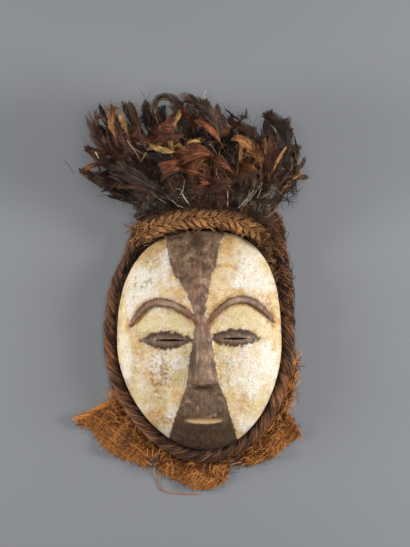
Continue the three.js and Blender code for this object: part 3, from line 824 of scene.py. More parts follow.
def mottle():
    """Lays a second colour over the first in patches where noise passes a threshold. Amount is
    about the share that is covered, and Softness is the width of the patches' edges."""

    def fill(nodes, given):
        field = nodes.noise(given["Vector"], given["Scale"], 6.0, 0.62)
        level = nodes.plus(field, nodes.minus(given["Amount"], 1.0))
        mask = nodes.step(level, nodes.times(given["Softness"], -1.0), given["Softness"])
        mask = nodes.times(mask, given["Strength"], clamp=True)
        return [nodes.mix(mask, given["Color"], given["Over"]), mask]

    inputs = {
        "Color": "Color", "Over": "Color", "Vector": "Vector", "Scale": "Float", "Amount": "Float",
        "Softness": "Float", "Strength": "Float"}
    return group("mottle", inputs, {"Color": "Color", "Mask": "Float"}, fill)


def fibre_streaks():
    """Colours a strand from dark to light by its own tone and by fine streaks along its lay."""

    def fill(nodes, given):
        fine = nodes.noise(nodes.stretch(given["Lay"], (0.5, 2.6, 2.6)), 2.4, 4.0, 0.7)
        blotch = nodes.noise(given["Lay"], 0.55, 2.0, 0.5)
        level = nodes.plus(nodes.times(fine, 0.75), nodes.times(blotch, 0.25))
        level = nodes.plus(nodes.minus(level, 0.5), given["Tone"])
        return [nodes.mix(nodes.step(level, 0.0, 1.0), given["Dark"], given["Light"]), fine]

    inputs = {"Dark": "Color", "Light": "Color", "Lay": "Vector", "Tone": "Float"}
    return group("fibre_streaks", inputs, {"Color": "Color", "Height": "Float"}, fill)


def new_material(name):
    """A material with its nodes, its shader and its Object coordinates."""
    made = bpy.data.materials.new(name)
    made.use_nodes = True
    made.node_tree.nodes.clear()
    nodes = Nodes(made.node_tree)
    shader = nodes.add("ShaderNodeBsdfPrincipled")
    nodes.add("ShaderNodeOutputMaterial", {"Surface": shader.outputs["BSDF"]})
    return made, nodes, shader, nodes.add("ShaderNodeTexCoord").outputs["Object"]


def connect(nodes, shader, **inputs):
    """Gives values to the shader's own sockets, whose names are written with underscores."""
    for key, value in inputs.items():
        nodes.give(shader.inputs[key.replace("_", " ")], value)


# Materials


def kaolin_wood(look):
    """Matt kaolin over wood: cloudy cream, with painted shade tinted greenish under the brows, ochre
    smudges, crusts of whiter clay, specks, dirt in the cracks, and painted shade on the side wall. The
    stain is mottled brown, darker and redder in places, with painted shade on the nose, and rubbed pale
    with painted highlights on the ridges. Bare wood shows in the mouth and behind."""
    material, nodes, shader, place_on = new_material("painted_wood")
    mix, step, plus, minus, times = nodes.mix, nodes.step, nodes.plus, nodes.minus, nodes.times
    value = {key: nodes.attribute(key) for key in (
        "stain", "tone", "red", "ochre", "white", "thin", "speckle", "flaked", "wood", "grime_and_shade", "socket",
        "worn_and_highlight")}

    def cloud(scale, detail, roughness):
        return nodes.noise(place_on, scale, detail, roughness)

    def share(key, low, high):
        """A value taken to a share from low to high."""
        return plus(times(value[key], high - low), low)

    def spotted(color, over, scale, amount, softness, strength):
        return nodes.place(
            mottle(), Color=color, Over=over, Vector=place_on, Scale=scale, Amount=amount,
            Softness=softness, Strength=strength)

    color = mix(step(cloud(40.0, 6.0, 0.62), 0.36, 0.62), look.kaolin_shade, look.kaolin)
    # Painted shade, tinted greenish, in the recesses under the brows
    color = mix(times(value["socket"], 0.7), color, look.socket)
    color = spotted(color, look.olive, 66.0, share("thin", 0.34, 0.68), 0.16, 0.75)["Color"]
    color = spotted(color, look.ochre, 46.0, share("ochre", 0.36, 0.76), 0.22, 0.85)["Color"]
    color = spotted(color, look.earth, 120.0, share("ochre", 0.29, 0.52), 0.14, 0.5)["Color"]
    crusts = spotted(color, look.white, 48.0, share("white", 0.4, 0.78), 0.14, 0.85)
    fine = cloud(520.0, 5.0, 0.7)
    grainy = nodes.dyed(crusts["Color"], (0.74, 0.67, 0.55))
    color = mix(step(fine, 0.3, 0.62), grainy, crusts["Color"])
    vein = nodes.math("ABSOLUTE", minus(cloud(62.0, 5.0, 0.6), 0.5))
    patchy = step(cloud(26.0, 2.0, 0.5), 0.46, 0.62)
    veins = times(minus(1.0, step(vein, 0.0, 0.022)), patchy)
    color = mix(times(veins, 0.5), color, look.earth)
    spots = spotted(color, look.earth, 230.0, share("speckle", 0.31, 0.5), 0.07, 0.7)
    color = mix(value["flaked"], spots["Color"], look.earth)
    # Dirt in the cracks and at the rim, and painted shade on the side wall below the front
    color = mix(value["grime_and_shade"], color, look.grime_and_shade)
    edge = nodes.place(
        worn_edge(), Mask=value["stain"], Vector=place_on, Scale=170.0, Raggedness=0.52)["Mask"]
    grain = nodes.noise(nodes.stretch(place_on, (4.0, 1.0, 2.0)), 75.0, 6.0, 0.7)
    stain = mix(value["tone"], look.stain, look.stain_dark_and_shade)
    stain = mix(times(value["red"], 0.75), stain, look.stain_red)
    stain = spotted(stain, look.stain_dark_and_shade, 75.0, 0.47, 0.08, 0.85)["Color"]
    stain = spotted(stain, look.stain_red, 110.0, 0.43, 0.08, 0.26)["Color"]
    stain = spotted(stain, look.dust_and_highlight, 95.0, share("tone", 0.5, 0.3), 0.09, 0.55)["Color"]
    dark, light = nodes.dyed(stain, (0.7, 0.69, 0.68)), nodes.dyed(stain, (1.3, 1.3, 1.3))
    stain = mix(step(grain, 0.36, 0.62), dark, light)
    # Rubbed stain with painted highlights: pale along the nose's ridge and corner and the brows' crests
    stain = mix(times(value["worn_and_highlight"], 0.8), stain, look.dust_and_highlight)
    stain = spotted(stain, look.dust_and_highlight, 330.0, share("worn_and_highlight", 0.34, 0.5), 0.06, 0.55)["Color"]
    color = mix(edge, color, stain)
    color = mix(value["wood"], color, mix(grain, look.wood, look.wood_dark))
    coat = minus(1.0, edge)
    height = plus(times(plus(crusts["Mask"], fine), coat), times(grain, 0.5))
    height = plus(height, times(spots["Mask"], -0.3))
    height = plus(height, times(cloud(240.0, 4.0, 0.6), times(coat, 3.0)))
    connect(
        nodes, shader, Base_Color=color, Roughness=minus(0.92, times(edge, times(grain, 0.75))),
        Normal=nodes.bump(height, 0.0006, 0.8), Specular_IOR_Level=0.35)
    return material


def fibre_material(name, look):
    """Twisted or plaited plant fibre: streaks along each strand, and dirt in patches."""
    dark, light, roughness, depth, dirty = FIBRES[name]
    material, nodes, shader, place_on = new_material(name)
    streaks = nodes.place(
        fibre_streaks(), Dark=getattr(look, dark), Light=getattr(look, light),
        Lay=nodes.attribute("lay", "Vector"), Tone=nodes.attribute("tone"))
    color = nodes.place(
        mottle(), Color=streaks["Color"], Over=look.dirt, Vector=place_on, Scale=45.0, Amount=dirty,
        Softness=0.1, Strength=0.6)["Color"]
    connect(
        nodes, shader, Base_Color=color, Roughness=roughness, Normal=nodes.bump(streaks["Height"], depth),
        Specular_IOR_Level=0.3)
    return material


def feather_material():
    """Feather vanes and quills: each point's own tint, streaked finely along the barbs."""
    material, nodes, shader, place_on = new_material("plume")
    tint = nodes.attribute("tint", "Color")
    fine = nodes.noise(nodes.stretch(nodes.attribute("lay", "Vector"), (0.8, 2.0, 2.0)), 3.0, 3.0, 0.6)
    blotch = nodes.noise(place_on, 120.0, 3.0, 0.6)
    level = nodes.step(nodes.plus(nodes.times(fine, 0.9), nodes.times(blotch, 0.9)), 0.55, 1.35)
    color = nodes.mix(level, nodes.dyed(tint, (0.28, 0.25, 0.23)), nodes.dyed(tint, (1.9, 1.82, 1.75)))
    rough = nodes.plus(nodes.times(blotch, 0.3), 0.42)
    connect(
        nodes, shader, Base_Color=color, Roughness=rough, Normal=nodes.bump(fine, 0.0003),
        Specular_IOR_Level=0.3)
    return material


def floor_material(color):
    material, nodes, shader, place_on = new_material("pale_floor")
    soft = nodes.noise(place_on, 3.0, 2.0, 0.5)
    shade = [c * 0.94 for c in color]
    connect(nodes, shader, Base_Color=nodes.mix(soft, color, shade), Roughness=0.9)
    return material


# The carved face


def face_skin(look):
    """The bowl as rings of spokes: the carved front from the middle out, the side wall, the flat
    rim on the floor, and the gouged hollow back to the middle."""
    spokes, front_rings, hollow_rings = 456, 98, 10
    angles = np.arange(spokes) / spokes * 2 * pi
    shares = 1 - (1 - np.arange(1, front_rings + 1) / front_rings) ** 1.25
    plan = outline_point(angles, shares[:, None])
    x, y = plan[..., 0], plan[..., 1]
    front = raised(plan, carved_height(x, y) + face_relief(x, y, look))
    down = np.array([0.04, 0.12, 0.3, 0.55, 0.8, 0.95, 1.0])[:, None]
    wall = raised(outline_point(angles, lerp(1.0, FACE.undercut, down)), FACE.edge_height * (1 - down))
    inward = np.linspace(1.0, 0.0, hollow_rings + 1)[:-1, None] ** 0.7
    plan = beside(angles, -HOLLOW.wall) * inward[..., None]
    x, y = plan[..., 0], plan[..., 1]
    gouges = np.abs(noise((x, y), HOLLOW.gouge, 31, 2)) * 1.4 * smoothstep(1 - inward, 0.02, 0.2)
    hollow = raised(plan, hollow_height(x, y, inward) + gouges)
    rings = np.concatenate([front, wall, hollow])
    count = len(rings)
    middle = np.zeros(1)
    poles = [(0, 0, carved_height(middle, middle)[0]), (0, 0, hollow_height(middle, middle, middle)[0])]
    step = np.arange(spokes)
    ahead = (step + 1) % spokes
    last = (count - 1) * spokes
    pole = np.full(spokes, count * spokes)
    fans = [np.stack([pole, step, ahead], -1), np.stack([pole + 1, last + ahead, last + step], -1)]
    return Skin().add(np.vstack([rings.reshape(-1, 3), poles]), [ring_faces(count, spokes), *fans])


def face_relief(x, y, look):
    """Fine relief of the front: broad tool facets, kaolin crust that is thicker in patches, chips
    along the crack, and the grain of the stained wood."""
    depth, _ = stain_depth(x, y)
    kaolin = smoothstep(-depth, -0.5, 1.5)
    facets = 0.35 * noise((x, y), 17.0, 3) + 0.18 * noise((x, y), 8.0, 4)
    crust = noise((x, y), 6.0, 5, 4)
    flakes = smoothstep(crust, -0.15, 0.2)
    coat = kaolin * (0.4 * flakes + 0.16 * noise((x, y), 2.6, 6, 2))
    pits = 0.5 * smoothstep(noise((x, y), 3.2, 8, 2), 0.55, 0.9) * (0.3 + patches(SPECKLE_PATCHES, x, y))
    grain = (1 - kaolin) * 0.12 * noise((x * 3.5, y), 5.0, 7, 3)
    chips = 0.9 * near_lines(CRACKS, x, y)
    fade = 1 - 0.6 * smoothstep(outward_share(x, y), 0.93, 1.0)
    return look.relief * fade * (facets + coat + grain - pits * kaolin - chips)


def lens_skin(eye):
    """A slit's cutter: a lens in plan between two parabolas, carried straight up."""
    t = np.linspace(-1, 1, 25)
    x = eye.slit[0] + eye.slit_half * t
    half = EYE.slit_half_height * (1 - t**2)
    sides = [np.stack([x, eye.slit[1] + hand * half], -1) for hand in (-1, 1)]
    ring = np.vstack([sides[0], sides[1][-2:0:-1]])
    return Skin().loft(np.stack([raised(ring, 30.0), raised(ring, 95.0)]))


def cut_away(piece, cutter):
    """Cuts one mesh out of another for good, and removes the cutter."""
    modifier = piece.modifiers.new("cut", "BOOLEAN")
    modifier.operation = "DIFFERENCE"
    modifier.solver = "EXACT"
    modifier.object = cutter
    graph = bpy.context.evaluated_depsgraph_get()
    graph.update()
    cut = bpy.data.meshes.new_from_object(piece.evaluated_get(graph))
    piece.modifiers.clear()
    piece.data = cut
    bpy.data.objects.remove(cutter)


def paint_face(piece):
    """Works out the stain, the kaolin's patches, the specks and the bare wood at each point."""
    mesh = piece.data
    points = np.empty(len(mesh.vertices) * 3)
    mesh.vertices.foreach_get("co", points)
    x, y, z = (points.reshape(-1, 3) * 1000 - ORIGIN).T
    out = outward_share(x, y)
    front = carved_height(x, y)
    depth, tone = stain_depth(x, y)
    below = smoothstep(front - z, 2.5, 5.5)
    behind = below * smoothstep(1.0 - np.minimum(out / FACE.undercut, 1.0), 0.02, 0.05)
    lips = smoothstep(1.12 - mouth_out(x, y), 0, 0.2) * (out < 0.9)
    edge = bell(clip(-depth, 0, None), 0, 3.0) * (depth < 0.5)
    rim = smoothstep(out, 0.9, 1.0)
    # The nose's ridge is rubbed pale and carries a painted highlight; lit is a painted highlight on its left
    # corner
    from_axis = np.abs(x - NOSE_AXIS)
    along_nose = smoothstep(-y, -30, 0) * smoothstep(y, -57, -50)
    ridge = np.exp(-((from_axis / (5.0 - 0.05 * y)) ** 4)) * along_nose
    corner = bell(from_axis, 7.0 - 0.05 * y, 1.1) * along_nose
    lit = corner * (0.05 + 0.35 * (x < NOSE_AXIS) * smoothstep(y, -34, -20))
    clots = smoothstep(noise((x, y), 5.0, 9, 2), 0, 0.6)
    broken = smoothstep(noise((x, y), 2.4, 10, 2), -0.5, 0.3)
    # Round each brow: glow is ochre beside it, crest a painted highlight along the middle of its top
    glow, crest, ends = np.zeros((3, len(x)))
    for brow in BROWS:
        gap, share = brow_distance(brow, x, y)
        middle = bell(share, *BROW.middle)
        glow = maximum(glow, bell(gap, 5, 3))
        crest = maximum(crest, bell(gap, 1.2, 1.6) * middle)
        ends = maximum(ends, smoothstep(6 - gap, 0, 2) * (1 - middle))
    values = {
        "stain": clip(0.5 + depth / 14, 0, 1) * (1 - below),
        "tone": tone,
        "red": maximum(patches(RED_PATCHES, x, y), 0.9 * ends),
        "ochre": (
            patches(OCHRE_PATCHES, x, y) + 0.35 * edge + 0.25 * rim + 0.8 * glow + near_lines(SEAMS, x, y)),
        "white": patches(WHITE_PATCHES, x, y),
        "thin": patches(THIN_PATCHES, x, y),
        "speckle": patches(SPECKLE_PATCHES, x, y),
        "flaked": 1.2 * near_lines(CRACKS, x, y) * broken,
        "wood": behind + lips,
        # Dirt at the stain's edge and at the rim, and painted shade on the side wall below the front
        "grime_and_shade": (0.3 * edge + 0.35 * rim**3) * clots + 0.95 * below * (1 - behind),
        # The recesses under the brows, which take painted shade tinted greenish
        "socket": smoothstep(face_height(x, y) - front, 1.0, 4.5) * (y > -30),
        "worn_and_highlight": 0.24 * ridge + lit + 0.85 * crest,
    }
    for name, value in values.items():
        set_values(mesh, name, clip(value, 0, 1))


# The rope


def rope_path():
    """The rope's closed centre line, along the outline and over the shoulder."""
    degrees = lerp(ROPE_TOP.until, 360 + ROPE_SHOULDER.until, np.arange(33) / 32)
    behind = 1 - smoothstep(degrees, ROPE_TOP.full, ROPE_TOP.starts)
    plan = beside(radians(degrees), lerp(ROPE.offset, ROPE_TOP.offset, behind))
    corners = np.vstack([plan, ROPE_SHOULDER.points])
    return through(raised(corners, FLOOR_GAP + ROPE.radius), closed=True)


def rope_skin(look):
    """A closed rope: yarns run side by side in helices about the centre line, further in between
    the three strands, round a dark core that shows between them as painted shade. Each yarn's side
    towards the face is darkened as painted shade."""
    line = evenly(rope_path(), ROPE.steps, closed=True)
    share = np.arange(ROPE.steps) / ROPE.steps
    far = np.linalg.norm(np.roll(line, -1, axis=0) - line, axis=1).sum()
    turns = round(far / ROPE.pitch)
    tangent = unit(np.roll(line, -1, axis=0) - np.roll(line, 1, axis=0))
    out = flat_points(tangent[:, 1], -tangent[:, 0])
    rng = default_rng(5)
    yarn = np.arange(ROPE.yarns)[:, None]
    turn = 2 * pi * (yarn / ROPE.yarns + share * turns)
    lobe = np.abs(sin(ROPE.lobes * pi * yarn / ROPE.yarns)) ** 0.6
    loose = noise((share * far, yarn * 37.0), 26.0, 11, 2)
    reach = ROPE.radius - ROPE.yarn_radius - 1.9 * (1 - lobe) + 0.6 * loose
    ring = turned(out, turn)
    fat = 2 * ROPE.yarn_radius * (1 + 0.2 * noise((share * far, yarn * 11.0), 12.0, 12))
    # Yarn tone: random, with painted shade on the side towards the face, and darker or lighter in places
    tone = 0.42 + 0.36 * noise((share * far, yarn * 50.0), 20.0, 13, 3)
    tone = tone + rng.normal(0, 0.15, (ROPE.yarns, 1)) - 0.5 * smoothstep(-cos(turn), 0.2, 0.9)
    tone = tone - 0.16 * smoothstep(-line[:, 1], 110, 140) + 0.12 * smoothstep(cos(turn), 0.3, 1.0)
    tone = tone - 0.35 * smoothstep(line[:, 0], 70, 90) * smoothstep(line[:, 1], 40, 90)
    tone = tone + 0.55 * bell(line[:, 0], 96, 9) * bell(line[:, 1], -70, 12) * (sin(turn) > 0.2)
    skin = Skin()
    skin.tubes(line + reach[..., None] * ring, fat * 1.25, fat, ring, sides=4, loop=True, tone=tone)
    # The dark core shows between the yarns as painted shade
    skin.tubes(line[None], ROPE.radius * 1.5, up=UP, sides=10, loop=True, tone=-0.2)
    add_rope_hairs(skin, line, out, turns, rng, look)
    add_gap_fibres(skin, rng)
    return skin


def add_rope_hairs(skin, line, out, turns, rng, look):
    """Broken fibre ends that lift off the rope, mostly on its upper and outer side, and short
    fuzzy ones on its shoulder."""
    n, t = look.rope_hairs, ramp(5)
    start = rng.integers(0, len(line), (n, 1))
    shoulder = np.flatnonzero((line[:, 0] > 60) & (line[:, 1] > 10))
    fuzzy = rng.random((n, 1)) < 0.4
    start = where(fuzzy, rng.choice(shoulder, (n, 1)), start)
    run = rng.integers(2, 7, (n, 1)) * t
    turn = rng.uniform(-0.6, 2.8, (n, 1)) + 2 * pi * turns / len(line) * run
    index = (start + np.round(run).astype(int)) % len(line)
    lift = rng.uniform(0.2, 1.0, (n, 1)) + rng.gamma(1.6, 1.0, (n, 1)) * t**2 * where(fuzzy, 0.5, 1)
    lift = np.minimum(ROPE.radius - 0.8 + lift, ROPE.radius + 4)
    lines = line[index] + turned(out[index], turn) * lift[..., None]
    lines = lines + wander(rng, n, len(t), 1.0) * where(fuzzy, 1.6, 0.5)[..., None]
    tone = where(fuzzy, rng.choice([-0.4, 0.1, 0.9], (n, 1)), rng.uniform(0.1, 0.95, (n, 1)))
    skin.tubes(lines, lerp(0.6, 0.25, t) * where(fuzzy, 1.6, 1.0), low=0.6, tone=tone)


def add_gap_fibres(skin, rng):
    """Dark fibres that stand for the painted shade in the gap beside the face, following its edge
    over the forehead and down its left side."""
    n, t = GAP.fibres, ramp(6)
    start = rng.uniform(GAP.start, GAP.end, (n, 1))
    angle = radians(start + rng.choice([-1, 1], (n, 1)) * rng.uniform(3, 9, (n, 1)) * t)
    room = np.interp(start, GAP.degrees, GAP.room)
    twist = wander(rng, n, len(t), 1.0)
    offset = clip(room * rng.uniform(0, 1, (n, 1)) + twist[..., 0], 0.9, room)
    lines = beside(angle, offset, rng.uniform(6, GAP.top, (n, 1)) + twist[..., 1])
    skin.tubes(lines, rng.uniform(0.9, 1.8, (n, 1)), tone=rng.beta(1.2, 3.0, (n, 1)) - 0.25)


# The plait


def plait_skin(rng):
    """Five strands that swing from side to side and over and under each other, each a flat bundle
    of palm fibres side by side on a dark core that shows between them as painted shade. The fibres at
    a strand's edges are darker, also as painted shade."""
    share = ramp(PLAIT.steps)
    angle = radians(lerp(PLAIT.start, PLAIT.end, share))
    ends = sin(pi * share) ** 0.35
    thick = lerp(0.7, 1, ends)
    place_in = np.linspace(-1, 1, PLAIT.filaments)[:, None]
    dome = PLAIT.strand[1] * thick * np.sqrt(maximum(0.05, 1 - place_in**2))
    skin = Skin()
    for k in range(PLAIT.strands):
        phase = 2 * pi * (PLAIT.turns * share + k / PLAIT.strands)
        middle = PLAIT.offset + PLAIT.swing * lerp(0.5, 1, ends) * sin(phase)
        height = PLAIT.depth + PLAIT.dip * sin(2 * phase)
        loose = noise((share * 150, place_in * 40, k * 9.0), 14.0, 21, 2)
        across = PLAIT.strand[0] * thick * place_in * 0.92 + 0.6 * loose
        lines = beside(angle, middle + across, height + dome * 0.85 + 0.5 * loose)
        width = 1.5 * thick * (1 + 0.25 * noise((share * 150, place_in * 90, k * 5.0), 9.0, 22))
        tone = 0.5 + 0.25 * loose + rng.uniform(-0.28, 0.28, (PLAIT.filaments, 1))
        # Painted shade: the fibres at a strand's edges are darker
        tone = tone - 0.4 * np.abs(place_in) ** 5
        skin.tubes(lines, width * 1.1, width * 0.9, UP, sides=4, tone=tone)
        # The dark core, painted shade between the fibres and the strands
        core = beside(angle, middle, height)[None]
        wide, deep = PLAIT.strand[0] * 1.9 * thick, PLAIT.strand[1] * 1.5 * thick
        skin.tubes(core, wide, deep, UP, sides=8, tone=-0.2)
    add_plait_hairs(skin, rng)
    return skin


def add_plait_hairs(skin, rng):
    """Loose palm fibres over the plait and at its frayed ends."""
    n, t = PLAIT.hairs, ramp(6)
    place = where(rng.random(n) < 0.4, rng.choice([0.0, 1.0], n) + rng.normal(0, 0.05, n), rng.random(n))
    angle = radians(lerp(PLAIT.start, PLAIT.end, clip(place, -0.04, 1.04)))
    at_left, at_right = place < 0.1, place > 0.86
    offset = PLAIT.offset + rng.uniform(-13, 13, n) + 5 * at_left + 3 * at_right
    start = beside(angle, offset, rng.uniform(31, 39, n))
    heading = rng.uniform(-0.9, 0.9, n) + where(rng.random(n) < 0.5, 0, pi)
    reach = rng.uniform(5, 15, (n, 1, 1)) * where(at_left | at_right, 0.7, 1.0)[:, None, None]
    lines = wisps(rng, start, toward(heading), reach, t, 1.2)
    lines[..., 2] += 1.5 * sin(pi * t)
    tone = rng.uniform(0.0, 1.1, n) - 0.6 * at_right - 0.2 * at_left
    skin.tubes(lines, lerp(0.85, 0.35, t), low=24, high=43, tone=tone[:, None])


def strap_skin():
    """A band wound with cord: one long helix of cord about a flat core that follows the outline."""
    share = ramp(STRAP.turns * 12)
    angle = radians(lerp(STRAP.start, STRAP.end, share))
    turn = 2 * pi * STRAP.turns * share
    square = 1 / maximum(np.abs(cos(turn)), np.abs(sin(turn))) ** 0.8
    middle = (STRAP.high + STRAP.low) / 2
    deep, tall = STRAP.thickness / 2 - 0.6, (STRAP.high - STRAP.low) / 2 - 0.8
    height = middle + tall * clip(square * sin(turn), -1, 1)
    line = beside(angle, STRAP.offset + deep * square * cos(turn), height)
    tone = -0.05 + 0.2 * noise((share * 400, 0), 9.0, 41)
    skin = Skin().tubes(line[None], 2.1, 1.2, (0.05, 0.1, 1), sides=5, tone=tone)
    angle = radians(np.linspace(STRAP.start, STRAP.end, 60))
    rings = np.stack([
        beside(angle, STRAP.offset + side * (deep - 0.4), middle + level * (tall - 0.4))
        for side, level in ((-1, -1), (1, -1), (1, 1), (-1, 1))
    ], axis=1)
    return skin.loft(rings, lay=rings.reshape(-1, 3) * 0.1, tone=0.1)


# The matted fibre at the upper right


def wad_bounds(y):
    """Left and right limits of the matted fibre at y: the face's edge and the rope."""
    grid = np.linspace(30, 110, 400)
    inside = outward_share(grid, y[:, None]) < 1
    left = maximum(where(inside, grid, grid[0]).max(axis=1) + 1.2, WAD.left)
    rope = rope_path()
    near = rope[(rope[:, 0] > 60) & (rope[:, 1] > 60)]
    order = np.argsort(near[:, 1])
    right = np.interp(y, near[order, 1], near[order, 0]) - ROPE.radius - 1.6
    return left, maximum(right, left + 1.5)


def wad_skin(rng):
    """A lumpy body between the face and the rope, under a tangle of curved fibres."""
    rows, cols = 60, 22
    y = np.linspace(WAD.low[0], WAD.top, rows)
    left, right = wad_bounds(y)
    t = ramp(cols)
    x = lerp(left[:, None], right[:, None], t)
    crown = WAD.crown - 3 * np.abs(np.linspace(-1, 1, rows)) ** 3 - 1.5
    hump = sin(pi * clip(t, 0.02, 0.98)) ** 0.35
    top = WAD.low[1] + (crown[:, None] - WAD.low[1]) * hump
    top = top + 1.6 * noise((x, y[:, None]), 7.0, 51, 3)
    upper = flat_points(x, y[:, None], maximum(top, WAD.low[1] + 1))
    under = flat_points(x, y[:, None], WAD.low[1])[:, ::-1]
    rings = np.concatenate([upper, under], axis=1)
    skin = Skin().loft(rings, flip=False, lay=rings.reshape(-1, 3) * 0.1, tone=-0.1)
    n, t = WAD.fibres, np.linspace(-0.5, 0.5, 7)
    row = rng.integers(0, rows, n)
    start = flat_points(lerp(left[row], right[row], rng.uniform(0, 1, n)), y[row], rng.uniform(8, 19, n))
    heading = where(rng.random(n) < 0.6, rng.normal(1.7, 0.5, n), rng.uniform(0, 6.28, n))
    ahead = toward(heading, rng.normal(0, 0.1, n))
    lines = wisps(rng, start, ahead, rng.uniform(8, 26, (n, 1, 1)), t, 2.0)
    lines[..., 2] += 2.0 * cos(pi * t)
    lines[..., 1] = clip(lines[..., 1], WAD.low[0] - 12, WAD.top + 14)
    left, right = (limit.reshape(n, -1) for limit in wad_bounds(lines[..., 1].ravel()))
    lines[..., 0] = clip(lines[..., 0], left - 5, right + 9)
    width = rng.uniform(0.5, 1.2, (n, 1))
    return skin.tubes(lines, width, low=3, high=24, tone=rng.beta(1.1, 2.2, (n, 1)))


# The raffia ruff


def cloth_height(angle, offset):
    """Height of the cloth's underside: flat under the rope, and rippling outside it."""
    share = (offset - CLOTH.inner) / 70.0
    free = smoothstep(offset, 17.5, 34)
    return 0.5 + free * CLOTH.ripple * (1 + sin(CLOTH.waves * angle + 2 * share))


def cloth_reach(stations, angle):
    """How far the cloth reaches past the outline, torn in steps and notches."""
    degrees = np.degrees(angle)
    torn = 1.6 * noise((degrees, stations[0][0]), 1.6, 61, 3)
    return read_off(stations, degrees)[0] + torn - 1.5


def cloth_skin(stations):
    """A torn cloth as a closed thin sheet that waves and puckers: angle round the outline by share
    of the reach. Also gives its flat size in metres: its own arc half-way out, and its mean reach."""
    low, high = stations[0][0], stations[-1][0]
    cols, rows = int(radians(high - low) * CLOTH.radius / 1.4), 34
    angle = radians(np.linspace(low, high, cols))
    offset = lerp(CLOTH.inner, cloth_reach(stations, angle), ramp(rows)[:, None])
    plan = beside(angle, offset)
    free = smoothstep(offset, 16, 30)
    swell = noise((plan[..., 0], plan[..., 1]), 9.0, 62, 3)
    lift = maximum(0, 0.8 + 0.8 * free * swell) * free
    under = raised(plan, cloth_height(angle, offset) + lift)
    rings = np.concatenate([under, (under + UP * CLOTH.thickness)[::-1]]).transpose(1, 0, 2)
    # The sheet's tone is darker than its yarns', so that it shows between them as painted shade
    skin = Skin().loft(rings, lay=rings.reshape(-1, 3) * 0.08, tone=0.2)
    arc = lengths_along(beside(angle, offset.mean()))[-1]
    return skin, (arc / 1000, (offset[-1].mean() - CLOTH.inner) / 1000)


def weave_skin(stations, rng, lean):
    """The yarns of a cloth: two sets of straight yarns, square to each other, over and under by
    turns, cut off and frayed where the cloth ends. With lean, the first set differ in tone."""
    low, high = stations[0][0], stations[-1][0]
    degrees = np.linspace(low, high, 200)
    middle = beside(radians(degrees), read_off(stations, degrees)[0]).mean(axis=0)
    rows = np.arange(-80, 80, CLOTH.yarn_gap)[:, None, None]
    run = np.arange(-95, 95, CLOTH.cell)[:, None]
    skin = Skin()
    for over, turn in enumerate((CLOTH.turn, CLOTH.turn + pi / 2)):
        ahead = np.array([cos(turn), sin(turn)])
        across = np.array([-ahead[1], ahead[0]])
        grid = middle + rows * across + run * ahead
        angle, offset = (some.reshape(grid.shape[:2]) for some in outline_place(grid.reshape(-1, 2)))
        inside = (angle > radians(low) + 0.004) & (angle < radians(high) - 0.004) & (offset > 14)
        inside &= offset < cloth_reach(stations, angle) - 0.5
        uneven = 0.14 + 0.25 * lean * (1 - over)
        add_yarns(skin, np.dstack([grid, angle, offset]), inside, over, uneven, rng)
    return skin


def add_yarns(skin, cells, inside, over, uneven, rng):
    """Lays a yarn along each row of cells, over each longer stretch inside the cloth. A cell holds
    its x, y, angle and offset."""
    lines, tones = [], []
    index = np.arange(cells.shape[1])
    for row in range(len(cells)):
        marks = np.flatnonzero(np.diff(np.concatenate([[0], inside[row], [0]]).astype(int)))
        for start, end in zip(marks[::2], marks[1::2]):
            if end - start < 5:
                continue
            fray = rng.uniform(0, 4.0, 2)
            places = np.linspace(start - fray[0], end - 1 + fray[1], CLOTH.yarn_points)
            at = clip(places, 0, index[-1])
            x, y, angle, offset = (np.interp(at, index, field) for field in cells[row].T)
            crimp = 0.7 * cos(pi * (places * CLOTH.cell / CLOTH.yarn_gap + row + over))
            lift = maximum(0, 0.8 + 0.8 * noise((x, y), 9.0, 62, 3)) * smoothstep(offset, 16, 30)
            z = cloth_height(angle, offset) + lift + CLOTH.thickness + 0.25 + crimp
            lines.append(flat_points(x, y, z))
            tones.append(rng.normal(0.48, uneven) + 0.27 * noise((x, y), 2.3, 63 + over, 2))
    lines = np.array(lines) + 0.35 * wander(rng, len(lines), CLOTH.yarn_points, 1.0)
    skin.tubes(lines, CLOTH.yarn * 0.97, 0.95, UP, low=0.6, tone=tones)


